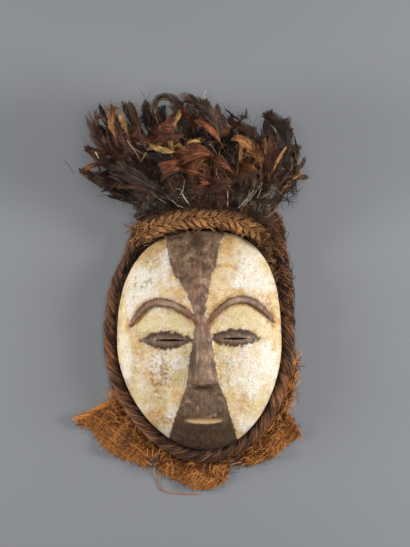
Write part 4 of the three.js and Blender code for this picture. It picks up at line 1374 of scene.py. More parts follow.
def fringe_skin(stations, rng, count, lean):
    """Torn ends: loose yarns that leave the cloth's outer edge, and a curly tangle of fibres along
    the rope, dark ones and long golden ones, each a wandering line laid on the cloth. Lean is 1
    where they lie along the rope, and 0 where they lie at any turn."""
    low, high = stations[0][0], stations[-1][0]
    t = ramp(7)
    at_edge = rng.random(count) < 0.22
    golden = ~at_edge & (rng.random(count) < 0.27)
    degrees = rng.uniform(low, high, count)
    beyond = rng.choice([low, high], count) + rng.uniform(-3.2, 3.2, count)
    past = ~at_edge & (rng.random(count) < 0.2)
    degrees = where(past, beyond, degrees)
    edge = read_off(stations, degrees)[0]
    near = 13 + where(past, rng.uniform(0, 0.8, count) * (edge - 13), rng.gamma(1.5, 4.5, count))
    offset = where(at_edge, edge - rng.uniform(1, 8, count), np.minimum(near, edge - 2))
    angle = radians(degrees)
    plan = beside(angle, offset)
    out = beside(angle, offset + 1) - plan
    along_rope = where(rng.random(count) < 0.5, 0.5, -0.5) * pi + rng.normal(0, 0.25, count)
    spin = where(at_edge, rng.normal(0, 0.6, count), rng.uniform(-3, 3, count))
    spin = where(rng.random(count) < lean, along_rope, spin)
    start = raised(plan, cloth_height(angle, offset) + 3.0)
    reach = where(at_edge, rng.uniform(2, 8, count), rng.uniform(5, 14, count)) + 7 * golden
    curl = where(at_edge, 1.0, where(golden, 1.4, 2.4))[:, None, None]
    ahead = toward(np.arctan2(out[:, 1], out[:, 0]) + spin)
    lines = wisps(rng, start, ahead, reach[:, None, None], t, 1.0, curl)
    arch = where(at_edge, 0.0, rng.uniform(1, 5, count) + 1.5 * golden)[:, None] * sin(pi * t)
    lines[..., 2] = lines[..., 2] + arch - 3.0 * at_edge[:, None] * t**2
    width = (rng.uniform(0.5, 1.0, count) + 0.35 * golden)[:, None] * lerp(1.0, 0.6, t)
    tone = where(at_edge, rng.uniform(0.2, 1.0, count), rng.uniform(-0.6, 0.35, count))
    tone = where(golden, rng.uniform(0.75, 1.3, count), tone)
    return Skin().tubes(lines, width, width * 0.6, low=0.5, high=13, tone=tone[:, None])


def add_hem(skin, rng):
    """The rolled hem of the left scrap: a loosely twisted bundle of golden yarns that runs out
    from the rope along its upper edge, and frays at the tip."""
    n, t = HEM.yarns, ramp(20)
    angle = radians(HEM.angle)
    phase = rng.uniform(0, 2 * pi, (n, 1)) + 2 * pi * HEM.turns * t
    thick = HEM.radius * rng.uniform(0.2, 1.0, (n, 1)) * (1 + 0.8 * smoothstep(t, 0.8, 1.0))
    offset = lerp(HEM.start, HEM.end + rng.uniform(-6, 9, (n, 1)), t)
    plan = beside(angle, offset)
    out = unit(plan[:, -1:] - plan[:, :1])
    plan = plan + np.stack([-out[..., 1], out[..., 0]], -1) * (thick * cos(phase))[..., None]
    height = cloth_height(angle, offset) + 3.5 + thick * sin(phase)
    lines = raised(plan, height) + wander(rng, n, len(t), 0.5)
    width = rng.uniform(0.8, 1.5, (n, 1))
    skin.tubes(lines, width, low=0.8, tone=rng.uniform(0.5, 1.15, (n, 1)))


# The feathers


def quill_root(angle, height):
    """Where a quill starts: on the rope's outer side up to its top, on the strap's outer side,
    or on top of the strap."""
    if height > STRAP.high:
        return beside(angle, STRAP.offset)
    if height > STRAP.low:
        return beside(angle, STRAP.offset + STRAP.thickness / 2 + QUILL.gap)
    line = evenly(rope_path(), 600, closed=True)
    i = int(np.argmin(np.abs(np.arctan2(line[:, 1], line[:, 0]) - angle)))
    tangent = unit(line[(i + 1) % len(line)] - line[i])
    over = height - FLOOR_GAP - ROPE.radius
    out = np.sqrt(ROPE.radius**2 - over**2) + QUILL.gap
    return np.array([line[i, 0] + tangent[1] * out, line[i, 1] - tangent[0] * out])


def tier_feather(tier, index):
    """A feather's line, roll and width, from its tier and its place across the fan."""
    count, height, elevation, lift, reach_share = TIERS[tier]
    seed = tier * 20 + index
    share = (index + 0.25 + (0.5 if tier % 2 else 0)) / count
    height = height + 1.6 * (scatter(seed + 3) - 0.5)
    root = quill_root(radians(lerp(*CREST_ROOTS, share)), height)
    reach = along(CREST_REACH, share) * reach_share * lerp(0.9, 1.04, scatter(seed + 7))
    bend = 22 * (0.5 - share) + 7 * (scatter(seed + 11) - 0.5)
    azimuth = along(CREST_AZIMUTH, share) - 0.4 * bend + 4 * (scatter(seed) - 0.5)
    s = ramp(61)
    ahead = turned(toward(radians(azimuth + bend * s**1.5)), radians(elevation + lift * s))
    length = reach / cos(radians(elevation))
    line = np.array([*root, height]) + np.vstack([np.zeros(3), np.cumsum(ahead[:-1], axis=0)]) * length / 60
    return line, radians(24 * (scatter(seed + 13) - 0.5)), lerp(*CREST_WIDTH, scatter(seed + 17))


def vane_share(s):
    """Half the vane's width along a feather: a bare quill, then a blade with a round tip."""
    blade = clip((s - 0.16) / 0.84, 0, 1)
    return smoothstep(blade, 0, 0.3) * np.sqrt(maximum(0, 1 - blade**5))


def tints(kind, look, rng):
    """Colours of a kind of feather: at the base, on the blade, along its edge, and of its shaft."""
    palette = np.array([look.dark, look.rust, look.buff, look.grey])
    return np.array(KINDS[kind]) @ palette * rng.uniform(0.75, 1.3)


def add_feather(
        skin, line, width, roll, kind, look, rng, ragged, fluffy=0.3, tip=None, steps=41, twist=0.0,
        bare=0.0):
    """One feather on a line: a tapering shaft, and on each side of it barbs that leave at an
    angle, bend towards the tip, droop into an arched vane, stand in clumps with splits between
    them, and curl loosely near the quill."""
    base, blade, edge, shaft = tints(kind, look, rng)
    tip = blade if tip is None else tip
    line = evenly(line, steps)
    length = lengths_along(line)[-1]
    ahead = unit(np.gradient(line, axis=0))
    s = ramp(steps)
    flat_side = unit(np.cross(ahead, UP + 1e-6))
    flat_up = np.cross(flat_side, ahead)
    lean_over = (roll + twist * s)[:, None]
    side = flat_side * cos(lean_over) - flat_up * sin(lean_over)
    up = np.cross(side, ahead)
    quill = 2 * QUILL.radius * lerp(0.95, 0.3, s) * min(1.0, width / 16)
    quill_tint = lerp(base * 0.8, np.array(look.quill), bare)
    shaft_tint = lerp(quill_tint, shaft, smoothstep(s, 0.08, 0.4)[:, None])
    skin.tubes(line[None], quill, quill * 0.8, up, tint=shaft_tint)
    n, t = max(6, int(length * 0.88 / look.barb_gap)), ramp(4)
    vary = 0.06 + 0.22 * ragged
    for hand in (-1, 1):
        at = clip(np.linspace(0.1, 0.985, n) + rng.normal(0, 0.003, n), 0.05, 0.985)
        clump = noise((at * length, hand * 50.0 + rng.uniform(0, 900)), 6.5, 71, 2) * ragged
        loose = smoothstep(fluffy - at, -0.08, 0.08)
        stray = rng.normal(0, lerp(3.0 * ragged, 16, loose))
        lean = radians(lerp(lerp(46, 27, at), 68, loose) + 14 * clump + stray)
        half = width / 2 * maximum(vane_share(clip(at + 0.05, 0, 0.995)), 0.15 * (at > 0.5))
        torn = noise((at * length, hand * 9.0 + rng.uniform(0, 900)), 9.0, 72, 2)
        torn = 1 - 0.45 * ragged * smoothstep(torn, 0.25, 0.7)
        half = lerp(half * (0.95 + 0.16 * clump) * torn, width * 0.3 * rng.uniform(0.5, 1.2, n), loose)
        reach = maximum(half / sin(maximum(lean, 0.3)), 1.2) * rng.uniform(0.88, 1.05, n)
        bend = (lean[:, None] * (1 - 0.35 * t))[..., None]
        root, forward, outward, upward = (
            np.stack([np.interp(at, s, column) for column in some.T], -1)[:, None]
            for some in (line, ahead, side, up))
        droop = -0.2 * half[:, None] * t**2 + (0.9 * clump + rng.normal(0, 0.2, n))[:, None] * t
        run = (reach[:, None] * t)[..., None]
        lines = root + run * (forward * cos(bend) + hand * outward * sin(bend))
        curl = wander(rng, n, len(t), 1.0) * (loose[:, None, None] * 1.7 + 0.12 * ragged)
        lines = lines + upward * droop[..., None] + curl * t[:, None]
        wide = look.barb_width * lerp(1.0, 0.4, t) * lerp(1.0, 0.4, loose)[:, None]
        body = lerp(lerp(blade, tip, smoothstep(at, 0.62, 0.92)[:, None]), base, loose[:, None])
        tint = lerp(body[:, None], edge, smoothstep(t, 0.7, 1.0)[:, None] * 0.75)
        tint = tint * rng.uniform(1 - vary, 1 + vary, (n, 1, 1)) * (1 + 0.4 * clump[:, None, None])
        skin.tubes(lines, wide, 0.22, upward, turn=pi / 2, low=0.7, tint=clip(tint, 0, 1))
    return skin


def tier_lines():
    """The lines of all the tiers' feathers, one array of points."""
    return np.vstack([
        tier_feather(tier, index)[0][6::3] for tier, facts in enumerate(TIERS) for index in range(facts[0])])


def crest_height(plan, tiers):
    """Height of the tiers' upper side: the highest feather line nearby, each one counting less
    with the square of the distance to it."""
    square = ((plan[:, None] - tiers[:, :2]) ** 2).sum(axis=-1)
    return maximum((tiers[:, 2] - 0.05 * square).max(axis=1), 4.0)


def crest_azimuth(plan):
    """The way that the crest's feathers point at a plan place: away from the forehead."""
    return np.arctan2(plan[..., 1] - 120, plan[..., 0] * 0.8)


def seen_at(plan, height):
    """The point at that height that shows at the plan place in the picture."""
    distance = VIEW.span * VIEW.lens / VIEW.sensor
    middle = np.array(VIEW.middle)
    return raised(middle + (plan - middle) * (1 - (height - VIEW.plane) / distance)[..., None], height)


def laid_on_tiers(route, lift, tiers):
    """A route in plan, carried over the tiers' upper side with that lift at its two ends."""
    plan = through(route, per_span=12)
    kernel = np.hanning(11) / np.hanning(11).sum()
    height = np.convolve(np.pad(crest_height(plan, tiers), 5, mode="edge"), kernel, mode="valid")
    return seen_at(plan, height + lerp(*lift, ramp(len(plan)) ** 1.5))


# Each plume that shows by itself: its route in plan from quill to tip, its lift over the tiers at
# both ends, its width, its roll and twist in degrees, how ragged it is, its kind, and the kind that
# its tip turns to, if it does
PLUMES = {
    "left_broad": (
        [(-74, 206), (-101, 224), (-120, 243), (-129, 260), (-133, 273), (-126, 279), (-119, 274)],
        (4, 12), 27, 4, 14, 0.06, "brown", "grey"),
    "left_inner": ([(-66, 208), (-92, 226), (-108, 246), (-114, 266)],
        (3, 9), 20, -10, 20, 0.2, "brown", "dark"),
    "left_rust": ([(-108, 216), (-126, 220), (-145, 215)], (4, 6), 12, 0, 10, 0.5, "rust"),
    "left_point": ([(-98, 240), (-114, 264), (-123, 286), (-127, 296)], (6, 9), 12, 14, 20, 0.4, "black"),
    "left_golden": ([(-102, 242), (-109, 262), (-111, 280), (-109, 293)],
        (7, 8), 17, -6, 20, 1.2, "golden", "rust"),
    "left_dark": ([(-92, 238), (-100, 256), (-104, 272)], (8, 10), 14, 20, -30, 0.8, "brown", "dark"),
    "left_buff": ([(-91, 256), (-96, 268), (-101, 282)], (11, 13), 11, 10, -20, 0.6, "buff"),
    "left_gold_low": ([(-102, 232), (-110, 244), (-114, 254)], (9, 10), 10, 16, 10, 0.8, "golden"),
    "left_blade": ([(-70, 240), (-79, 266), (-85, 286), (-90, 299)],
        (9, 9), 15, -8, 16, 0.35, "brown", "grey"),
    "black_tuft": ([(-62, 254), (-68, 268), (-73, 281)], (5, 5), 13, 20, 40, 1.2, "black"),
    "black_tuft_right": ([(-58, 258), (-60, 270), (-62, 280)], (5, 5), 10, -20, 40, 1.2, "black"),
    "curled_dark": ([(-30, 258), (-24, 278), (-27, 294), (-38, 303), (-50, 303), (-57, 295), (-56, 286)],
        (10, 15), 15, 12, -14, 0.15, "dark", "grey"),
    "curled_buff": ([(-46, 262), (-54, 274), (-58, 288), (-53, 300), (-42, 302), (-35, 294)],
        (12, 14), 12, -12, 16, 0.15, "edged", "edged"),
    "curled_rust": ([(-56, 246), (-48, 262), (-38, 276)], (7, 9), 18, 10, 30, 0.7, "rust", "brown"),
    "curled_brown": ([(-70, 252), (-54, 262), (-36, 264)], (9, 10), 17, -10, 20, 0.6, "brown", "rust"),
    "small_buff": ([(-34, 264), (-30, 276), (-25, 289)], (11, 12), 9, 0, 30, 0.6, "buff"),
    "arching_grey": ([(26, 240), (19, 266), (8, 286), (-6, 298), (-19, 300), (-28, 290)],
        (9, 12), 26, -6, 20, 0.12, "grey", "brown"),
    "arching_dark": ([(20, 246), (12, 270), (0, 290), (-10, 303), (-15, 309)],
        (7, 8), 17, 12, 20, 0.5, "dark", "grey"),
    "top_brown": ([(-6, 252), (-12, 272), (-22, 288)], (10, 12), 19, 8, -30, 0.4, "brown", "rust"),
    "top_rust": ([(30, 236), (19, 256), (4, 270), (-10, 276)], (12, 12), 12, 8, 10, 0.5, "rust", "rust"),
    "top_edged": ([(34, 232), (30, 254), (24, 272), (20, 284)], (9, 9), 9, 20, 20, 0.7, "edged"),
    "top_knob": ([(34, 248), (33, 264), (28, 278)], (6, 7), 10, 0, 30, 0.5, "grey", "dark"),
    "middle_buff": ([(-24, 235), (-43, 238), (-63, 244)], (13, 13), 14, 22, 10, 0.2, "buff"),
    "middle_white": ([(-18, 245), (-11, 249), (-2, 249)], (14, 14), 5, 10, 0, 0.3, "buff", "buff"),
    "middle_rust": ([(32, 218), (6, 234), (-20, 229), (-48, 216)], (9, 9), 31, -6, 10, 0.3, "rust"),
    "middle_rust_low": ([(10, 204), (-12, 212), (-32, 214), (-48, 206)],
        (9, 9), 22, 12, -10, 0.5, "rust", "brown"),
    "middle_rust_right": ([(42, 206), (30, 220), (14, 232)], (9, 11), 18, 10, 20, 0.7, "rust"),
    "middle_brown": ([(-14, 258), (-34, 256), (-58, 252)], (10, 11), 17, -8, 20, 0.5, "brown", "rust"),
    "middle_dark": ([(-16, 214), (-44, 226), (-70, 238)], (5, 6), 20, 8, 20, 0.6, "black"),
    "cap": ([(80, 228), (72, 249), (59, 262), (42, 268), (29, 261)],
        (9, 10), 20, -4, 20, 0.3, "brown", "rust"),
    "golden_fan": ([(76, 212), (68, 232), (55, 247), (40, 253)],
        (11, 12), 18, 10, 20, 0.9, "golden", "rust"),
    "golden_side": ([(74, 206), (75, 226), (70, 246)], (9, 10), 15, 16, -10, 0.8, "golden", "rust"),
    "wisp_left": ([(40, 262), (47, 275), (39, 282), (31, 289)], (5, 5), 4, 0, 0, 1, "black"),
    "wisp_right": ([(50, 264), (49, 275), (56, 281), (57, 290)], (5, 5), 6, 0, 40, 1.4, "black"),
    "right_tall": ([(84, 192), (98, 219), (103, 240), (101, 262), (91, 277), (78, 284)],
        (6, 12), 31, 0, 6, 0.05, "dark", "brown"),
    "right_tall_inner": ([(80, 206), (86, 230), (89, 252), (88, 268)],
        (5, 9), 16, 20, 10, 0.15, "brown", "edged"),
    "right_streak": ([(88, 208), (97, 226), (107, 243)], (10, 10), 6, 10, 10, 0.5, "golden"),
    "right_thin": ([(110, 214), (119, 236), (117, 255)], (3, 5), 4, 0, 0, 0.6, "black"),
    "right_dark": ([(92, 186), (108, 208), (117, 230), (118, 242)], (3, 5), 19, 0, 20, 0.5, "dark", "black"),
    "right_low": ([(86, 176), (104, 188), (118, 200)], (3, 5), 17, 0, 20, 0.5, "dark"),
    "right_gold": ([(100, 186), (112, 198), (124, 208)], (4, 6), 10, 20, 20, 1.3, "golden", "buff"),
    "fluffy_brown": ([(76, 211), (48, 203), (20, 196), (0, 198)], (8, 9), 26, 4, 10, 1, "brown", "rust"),
    "fluffy_low": ([(52, 192), (26, 190), (-2, 192), (-22, 198)], (6, 7), 22, 8, 10, 1, "brown"),
    "long_dark": ([(-30, 176), (-66, 195), (-96, 211), (-122, 222), (-134, 219)],
        (8, 12), 29, -4, 14, 0.15, "dark"),
    "hanging_dark": ([(-44, 184), (-63, 178), (-75, 165), (-81, 152)], (5, 8), 22, 6, 20, 0.6, "dark"),
    "left_low": ([(-60, 186), (-88, 194), (-110, 197), (-124, 196)],
        (4, 6), 18, 8, 20, 0.8, "brown", "dark"),
    "left_curled": ([(-70, 180), (-88, 174), (-102, 177), (-119, 182)], (4, 7), 7, -10, 20, 0.9, "black"),
    "left_hook": ([(-92, 196), (-108, 196), (-116, 189), (-125, 186)], (5, 8), 6, -10, 20, 0.9, "black"),
    "low_left": ([(-36, 176), (-58, 186), (-84, 190)], (4, 6), 16, 4, 10, 0.7, "dark"),
    "green_dark": ([(44, 204), (42, 226), (36, 250)], (5, 7), 20, 20, 20, 0.9, "black"),
    "right_inner": ([(76, 180), (86, 204), (90, 226)], (4, 6), 18, 10, 20, 0.6, "brown", "dark"),
    "ring_black": ([(-44, 266), (-47, 279), (-47, 292)], (8, 8), 14, 0, 20, 0.5, "black"),
}
# Where small curled feathers lie: middle, spread, count and kind
TUFTS = [
    ((-94, 240), (24, 18), 9, "brown"), ((-106, 216), (20, 12), 8, "dark"),
    ((-60, 262), (20, 10), 6, "brown"), ((-40, 258), (20, 12), 9, "rust"),
    ((-8, 280), (18, 10), 6, "grey"), ((0, 262), (24, 14), 10, "brown"), ((-18, 224), (30, 14), 7, "rust"),
    ((24, 238), (18, 20), 14, "black"), ((15, 244), (18, 18), 10, "black"),
    ((62, 238), (12, 14), 7, "golden"), ((66, 218), (18, 16), 7, "rust"),
    ((104, 226), (10, 22), 8, "dark"), ((112, 208), (8, 16), 6, "edged"),
    ((20, 192), (40, 8), 12, "brown"), ((-56, 196), (36, 12), 14, "dark"),
    ((70, 190), (24, 12), 10, "dark"), ((-70, 182), (26, 8), 6, "black"),
    ((-34, 246), (44, 24), 8, "buff"), ((40, 210), (50, 18), 5, "golden"),
]
# Patches of loose down: middle, spread, count, length and kind
DOWN = [
    ((-110, 288), 6, 70, 10, "golden"), ((-70, 274), 7, 50, 9, "black"), ((120, 204), 5, 70, 9, "golden"),
    ((114, 186), 6, 50, 11, "black"), ((107, 176), 5, 30, 11, "black"), ((-110, 192), 12, 40, 13, "black"),
    ((52, 280), 6, 20, 7, "black"), ((20, 190), 24, 200, 12, "brown"), ((-30, 184), 26, 200, 12, "dark"),
    ((64, 184), 18, 160, 12, "dark"), ((0, 235), 50, 160, 10, "brown"), ((-66, 225), 30, 160, 11, "dark"),
    ((84, 196), 18, 120, 11, "brown"), ((-60, 250), 30, 80, 10, "golden"), ((62, 238), 16, 90, 9, "golden"),
    ((0, 215), 30, 120, 9, "rust"),
]
# Bare pale quills: their two ends in plan, how pale they are, and their width
QUILLS = [
    ((-14, 169), (-24, 184), 1, 1.7), ((-28, 167), (-50, 187), 0.7, 1.3),
    ((-22, 166), (-36, 176), 0.5, 1.2), ((33, 167), (33, 187), 0.8, 1.3), ((47, 166), (66, 188), 0.7, 1.4),
    ((70, 178), (76, 197), 0.9, 1.7), ((56, 170), (61, 188), 0.4, 1.1), ((62, 170), (86, 184), 0.5, 1.2),
    ((-44, 172), (-63, 186), 0.45, 1), ((52, 168), (74, 194), 0.6, 1.1),
    ((50, 170), (69, 186), 0.45, 1), ((-86, 216), (-62, 198), 0.5, 1),
    ((-92, 250), (-74, 222), 0.45, 0.9), ((30, 214), (12, 246), 0.5, 1),
    ((-8, 262), (-30, 284), 0.4, 0.9), ((-90, 244), (-64, 230), 0.4, 0.8),
    ((20, 218), (26, 246), 0.5, 0.8), ((-132, 236), (-122, 220), 0.9, 1),
]
BROWN_QUILLS = Sizes(count=110, reach=26, width=1.15, pale=0.42)
# The down over the strap: patches, spread, count in each, length, and the kinds that take turns
STRAP_DOWN = Sizes(patches=26, spread=5, count=46, length=13, kinds=["dark", "brown", "black", "dark"])
# Stray wisps and bare shafts that lie over the crest: how many, their length, width and kind
STRAYS = [
    (150, 15, 0.4, "buff"), (130, 16, 0.42, "golden"), (260, 16, 0.5, "black"), (14, 15, 0.55, "quill"),
]


def tuft_skin(which, look, rng, tiers):
    """Small curled feathers scattered over the tiers, each bent and rolled its own way."""
    skin = Skin()
    t = np.linspace(-0.5, 0.5, 7)
    for middle, size, count, kind in TUFTS[which::3]:
        for _ in range(count):
            at = np.array(middle) + rng.normal(0, 0.55, 2) * size
            if np.hypot(*(tiers[:, :2] - at).T).min() > 14:
                continue
            away = crest_azimuth(at) + rng.normal(0, 0.9)
            steps = toward(away + rng.normal(0, 1.0) * t)[:, :2] * rng.uniform(20, 42) / 6
            plan = at + np.cumsum(steps, axis=0) - steps.sum(axis=0) / 2
            height = crest_height(plan, tiers) + rng.uniform(-2, 3) + 3 * cos(pi * t) * rng.random()
            line = through(seen_at(plan, height), per_span=4)
            add_feather(
                skin, line, rng.uniform(9, 16), rng.normal(0, 0.45), kind, look, rng, 0.9, fluffy=0.22,
                steps=13, twist=rng.normal(0, 0.6))
    return skin


def down_skin(look, rng, tiers):
    """Loose down: soft barbs that leave each patch's middle in all directions and curl."""
    skin = Skin()
    t = ramp(5)
    angles = radians(np.linspace(*CREST_ROOTS, STRAP_DOWN.patches))
    strap = [
        (beside(angle, STRAP.offset), STRAP_DOWN.spread, STRAP_DOWN.count, STRAP_DOWN.length,
         STRAP_DOWN.kinds[number % 4])
        for number, angle in enumerate(angles)]
    for middle, size, count, length, kind in DOWN + strap:
        plan = np.array(middle) + rng.normal(0, 1, (count, 2)) * np.array([size, size * 0.6]) * 0.6
        start = seen_at(plan, crest_height(plan, tiers) + rng.uniform(-4, 4, count))
        ahead = unit(rng.normal(0, 1, (count, 3)) * np.array([1, 1, 0.4]) + np.array([0, 0.35, 0.1]))
        lines = wisps(rng, start, ahead, length * rng.uniform(0.5, 1.3, (count, 1, 1)), t, 1.8, t[:, None])
        _, blade, edge, _ = tints(kind, look, rng)
        tint = where(rng.random((count, 1)) < 0.5, blade, edge) * rng.uniform(0.6, 1.3, (count, 1))
        tint = clip(tint, 0, 1)[:, None]
        skin.tubes(lines, lerp(0.75, 0.25, t), 0.3, DOWN_UP, low=1.0, high=DOWN_TOP, tint=tint)
    return skin


def stray_skin(look, rng, tiers):
    """Stray wisps and bare shafts lying over the crest at all angles, each a gently bent line."""
    skin = Skin()
    t = np.linspace(-0.5, 0.5, 5)
    for count, length, width, kind in STRAYS:
        plan = tiers[rng.integers(0, len(tiers), count), :2] + rng.normal(0, 5, (count, 2))
        start = raised(plan, crest_height(plan, tiers) + rng.uniform(0, 7, count))
        heading = crest_azimuth(plan) + rng.normal(0, 0.8, count)
        ahead = toward(heading, rng.normal(0.15, 0.2, count))
        lines = wisps(rng, start, ahead, length * rng.uniform(0.5, 1.4, (count, 1, 1)), t, 1.2)
        width = width * rng.uniform(0.6, 1.2, (count, 1))
        tint = np.array(look.quill) if kind == "quill" else tints(kind, look, rng)[1]
        tint = clip(tint * rng.uniform(0.45, 1.25, (count, 1)), 0, 1)
        skin.tubes(lines, width, up=DOWN_UP, low=1.0, high=DOWN_TOP, tint=tint[:, None])
    return skin


def quills_skin(look, rng, tiers):
    """Bare quills: the pale ones that show by themselves, and brown ones all along the strap."""
    skin = Skin()
    pale = np.array(look.quill)
    for start, end, share, width in QUILLS:
        bend = np.array(start) * 0.5 + np.array(end) * 0.5 + rng.normal(0, 0.8, 2)
        line = laid_on_tiers([start, bend, end], (4, 7), tiers)
        skin.tubes(line[None], width * np.linspace(1.3, 0.7, len(line)), up=DOWN_UP, tint=pale * share)
    n, t = BROWN_QUILLS.count, ramp(5)
    share = rng.uniform(0, 1, n)
    start = beside(radians(lerp(*CREST_ROOTS, share)), STRAP.offset + 1, rng.uniform(44, 47, n))
    azimuth = radians(along(CREST_AZIMUTH, share) + rng.normal(0, 14, n))
    ahead = turned(toward(azimuth), rng.uniform(0.3, 0.8, n))
    reach = BROWN_QUILLS.reach * rng.uniform(0.6, 1.25, (n, 1, 1))
    lines = wisps(rng, start, ahead, reach, t, 1.0, t[:, None])
    width = BROWN_QUILLS.width * rng.uniform(0.7, 1.3, (n, 1)) * lerp(1.0, 0.4, t)
    tint = pale * BROWN_QUILLS.pale * rng.uniform(0.4, 1.3, (n, 1, 1))
    return skin.tubes(lines, width, up=DOWN_UP, tint=tint)


# Settings


def colour(name, description, text):
    return FloatVectorProperty(
        name=name, description=description, subtype="COLOR", size=3, min=0, max=1, default=linear(text))


class StageLook(bpy.types.PropertyGroup):
    floor: colour("Floor", "Colour of the plain floor", "#7e8083")
    power: FloatProperty(
        name="Light", description="Power of the soft lights together", default=73.0, unit="POWER")
    sky: FloatProperty(
        name="Surround", description="Strength of the even light all round", default=0.06, min=0)


class FaceLook(bpy.types.PropertyGroup):
    kaolin: colour("Kaolin", "Colour of the kaolin coat", "#e8dab9")
    kaolin_shade: colour("Kaolin shade", "Second tone of the coat", "#d6c08f")
    white: colour("White", "The thickest kaolin", "#e9e4dc")
    olive: colour("Thin coat", "Olive tan where the coat is thin", "#bda678")
    ochre: colour("Ochre", "Ochre that shows through the coat", "#d2a566")
    # Socket colour: painted shade, tinted greenish, under the brows
    socket: colour("Socket", "Greenish kaolin under the brows", "#d8cb9e")
    earth: colour("Earth", "Specks and deep smudges", "#8a6338")
    # Colour of the dirt in the cracks, and of the painted shade on the side wall
    grime_and_shade: colour("Grime", "Dirt in the cracks and on the side wall", "#3f3024")
    stain: colour("Stain", "The dark stain", "#7d6450")
    # Dark stain colour: the chin and brows, and painted shade on the nose
    stain_dark_and_shade: colour("Dark stain", "The stain on the chin and brows", "#463526")
    stain_red: colour("Red stain", "Reddish wood that shows in the stain", "#82543b")
    # Pale colour of dusty stain, and of the painted highlights on the ridges and brows
    dust_and_highlight: colour("Dust", "Pale dust on the worn stain", "#a98c70")
    wood: colour("Wood", "Bare wood in the mouth and behind", "#c5a67a")
    wood_dark: colour("Old wood", "Darker bare wood", "#93744e")
    relief: FloatProperty(
        name="Relief", description="Strength of the crust and tool marks", default=1.0, min=0)


class FibreLook(bpy.types.PropertyGroup):
    rope_dark: colour("Rope, dark", "Dark fibre of the rope", "#24170f")
    rope_light: colour("Rope, light", "Light fibre of the rope", "#a8714c")
    plait_dark: colour("Plait, dark", "Dark fibre of the plait", "#462511")
    plait_light: colour("Plait, light", "Light fibre of the plait", "#d69a5c")
    cloth_dark: colour("Raffia, dark", "Dark yarn of the ruff", "#5c2e12")
    cloth_light: colour("Raffia, light", "Light yarn of the ruff", "#e0964e")
    dirt: colour("Dirt", "Dirt in the fibres", "#2a1b13")
    rope_hairs: IntProperty(
        name="Rope hairs", description="Number of broken fibres on the rope", default=1500, min=0)


class FeatherLook(bpy.types.PropertyGroup):
    dark: colour("Dark", "The dark feathers", "#30221a")
    rust: colour("Rust", "The red-brown feathers", "#83492b")
    buff: colour("Buff", "The pale golden feathers", "#c49d5e")
    grey: colour("Grey", "The grey-brown feathers", "#5c493a")
    quill: colour("Quill", "Bare quills", "#d8ccb0")
    barb_gap: FloatProperty(
        name="Barb gap", description="Millimetres between barbs along the shaft", default=1.8, min=0.5)
    barb_width: FloatProperty(
        name="Barb width", description="Millimetres across a barb at the shaft", default=1.75, min=0.2)


# Operators


class MASK_OT_stage(bpy.types.Operator):
    """Makes the floor, the soft lights and the camera"""

    bl_idname = "mask.stage"
    bl_label = "Stage"

    def execute(self, context):
        look = context.scene.mask_stage
        mesh = bpy.data.meshes.new("floor")
        half = 4.0
        corners = [(-half, -half, 0), (half, -half, 0), (half, half, 0), (-half, half, 0)]
        mesh.from_pydata(corners, [], [(0, 1, 2, 3)])
        mesh.materials.append(floor_material(look.floor))
        new_object("floor", mesh)
        middle = in_row([*VIEW.middle, VIEW.plane])
        camera = new_object("camera", bpy.data.cameras.new("camera"))
        camera.data.lens = VIEW.lens
        camera.data.sensor_width = VIEW.sensor
        camera.data.clip_end = 50
        camera.location = (*middle[:2], middle[2] + VIEW.span / 1000 * VIEW.lens / VIEW.sensor)
        context.scene.camera = camera
        for name, (at, size, share) in LIGHTS.items():
            add_light(name, at, size, look.power * share, middle)
        world = bpy.data.worlds.new("surround")
        world.use_nodes = True
        background = world.node_tree.nodes["Background"]
        background.inputs["Color"].default_value = (0.93, 0.97, 1.0, 1.0)
        background.inputs["Strength"].default_value = look.sky
        context.scene.world = world
        context.scene.view_settings.view_transform = "Standard"
        return {"FINISHED"}


def add_light(name, at, size, power, target):
    """A square soft light that faces the target."""
    light = bpy.data.lights.new(name, "AREA")
    light.size = size
    light.energy = power
    lamp = new_object(name, light)
    lamp.location = at
    lamp.rotation_euler = (Vector(at) - Vector(target)).to_track_quat("Z", "Y").to_euler()


class MASK_OT_thread(bpy.types.Operator):
    bl_idname = "mask.thread"
    bl_label = "Loose thread"

    def execute(self, context):
        line = evenly(through(THREAD_ROUTE), 80)
        skin = Skin().tubes(line[None], THREAD_DIAMETER, sides=8, tone=0.5)
        piece = skin.build("thread", "raffia", "loose_thread")
        path = in_row(line)
        lengths_along(path)[-1]
        return {"FINISHED"}


class MASK_OT_face(bpy.types.Operator):
    """Makes the carved wooden face, with its eye slits cut through"""

    bl_idname = "mask.face"
    bl_label = "Carved face"

    def execute(self, context):
        piece = face_skin(context.scene.mask_face).build("wooden_face", "painted_wood", "carved_face")
        for eye in EYES:
            cut_away(piece, lens_skin(eye).build("slit", "painted_wood"))
        paint_face(piece)
        piece.data.shade_smooth()
        return {"FINISHED"}


class MASK_OT_rope(bpy.types.Operator):
    """Lays the twisted rope round the rim"""

    bl_idname = "mask.rope"
    bl_label = "Rim rope"

    def execute(self, context):
        rope_skin(context.scene.mask_fibre).build("twisted_rope", "rope", "rim_rope")
        return {"FINISHED"}


class MASK_OT_plait(bpy.types.Operator):
    """Plaits the palm fibre over the forehead, and winds the strap behind it"""

    bl_idname = "mask.plait"
    bl_label = "Plait and strap"

    def execute(self, context):
        plait_skin(default_rng(21)).build("palm_plait", "palm", "forehead_plait")
        strap_skin().build("wound_strap", "palm", "feather_strap")
        return {"FINISHED"}


class MASK_OT_wad(bpy.types.Operator):
    """Packs the matted fibre between the face and the rope"""

    bl_idname = "mask.wad"
    bl_label = "Matted fibre"

    def execute(self, context):
        wad_skin(default_rng(31)).build("matted_fibre", "matted", "fibre_wad")
        return {"FINISHED"}


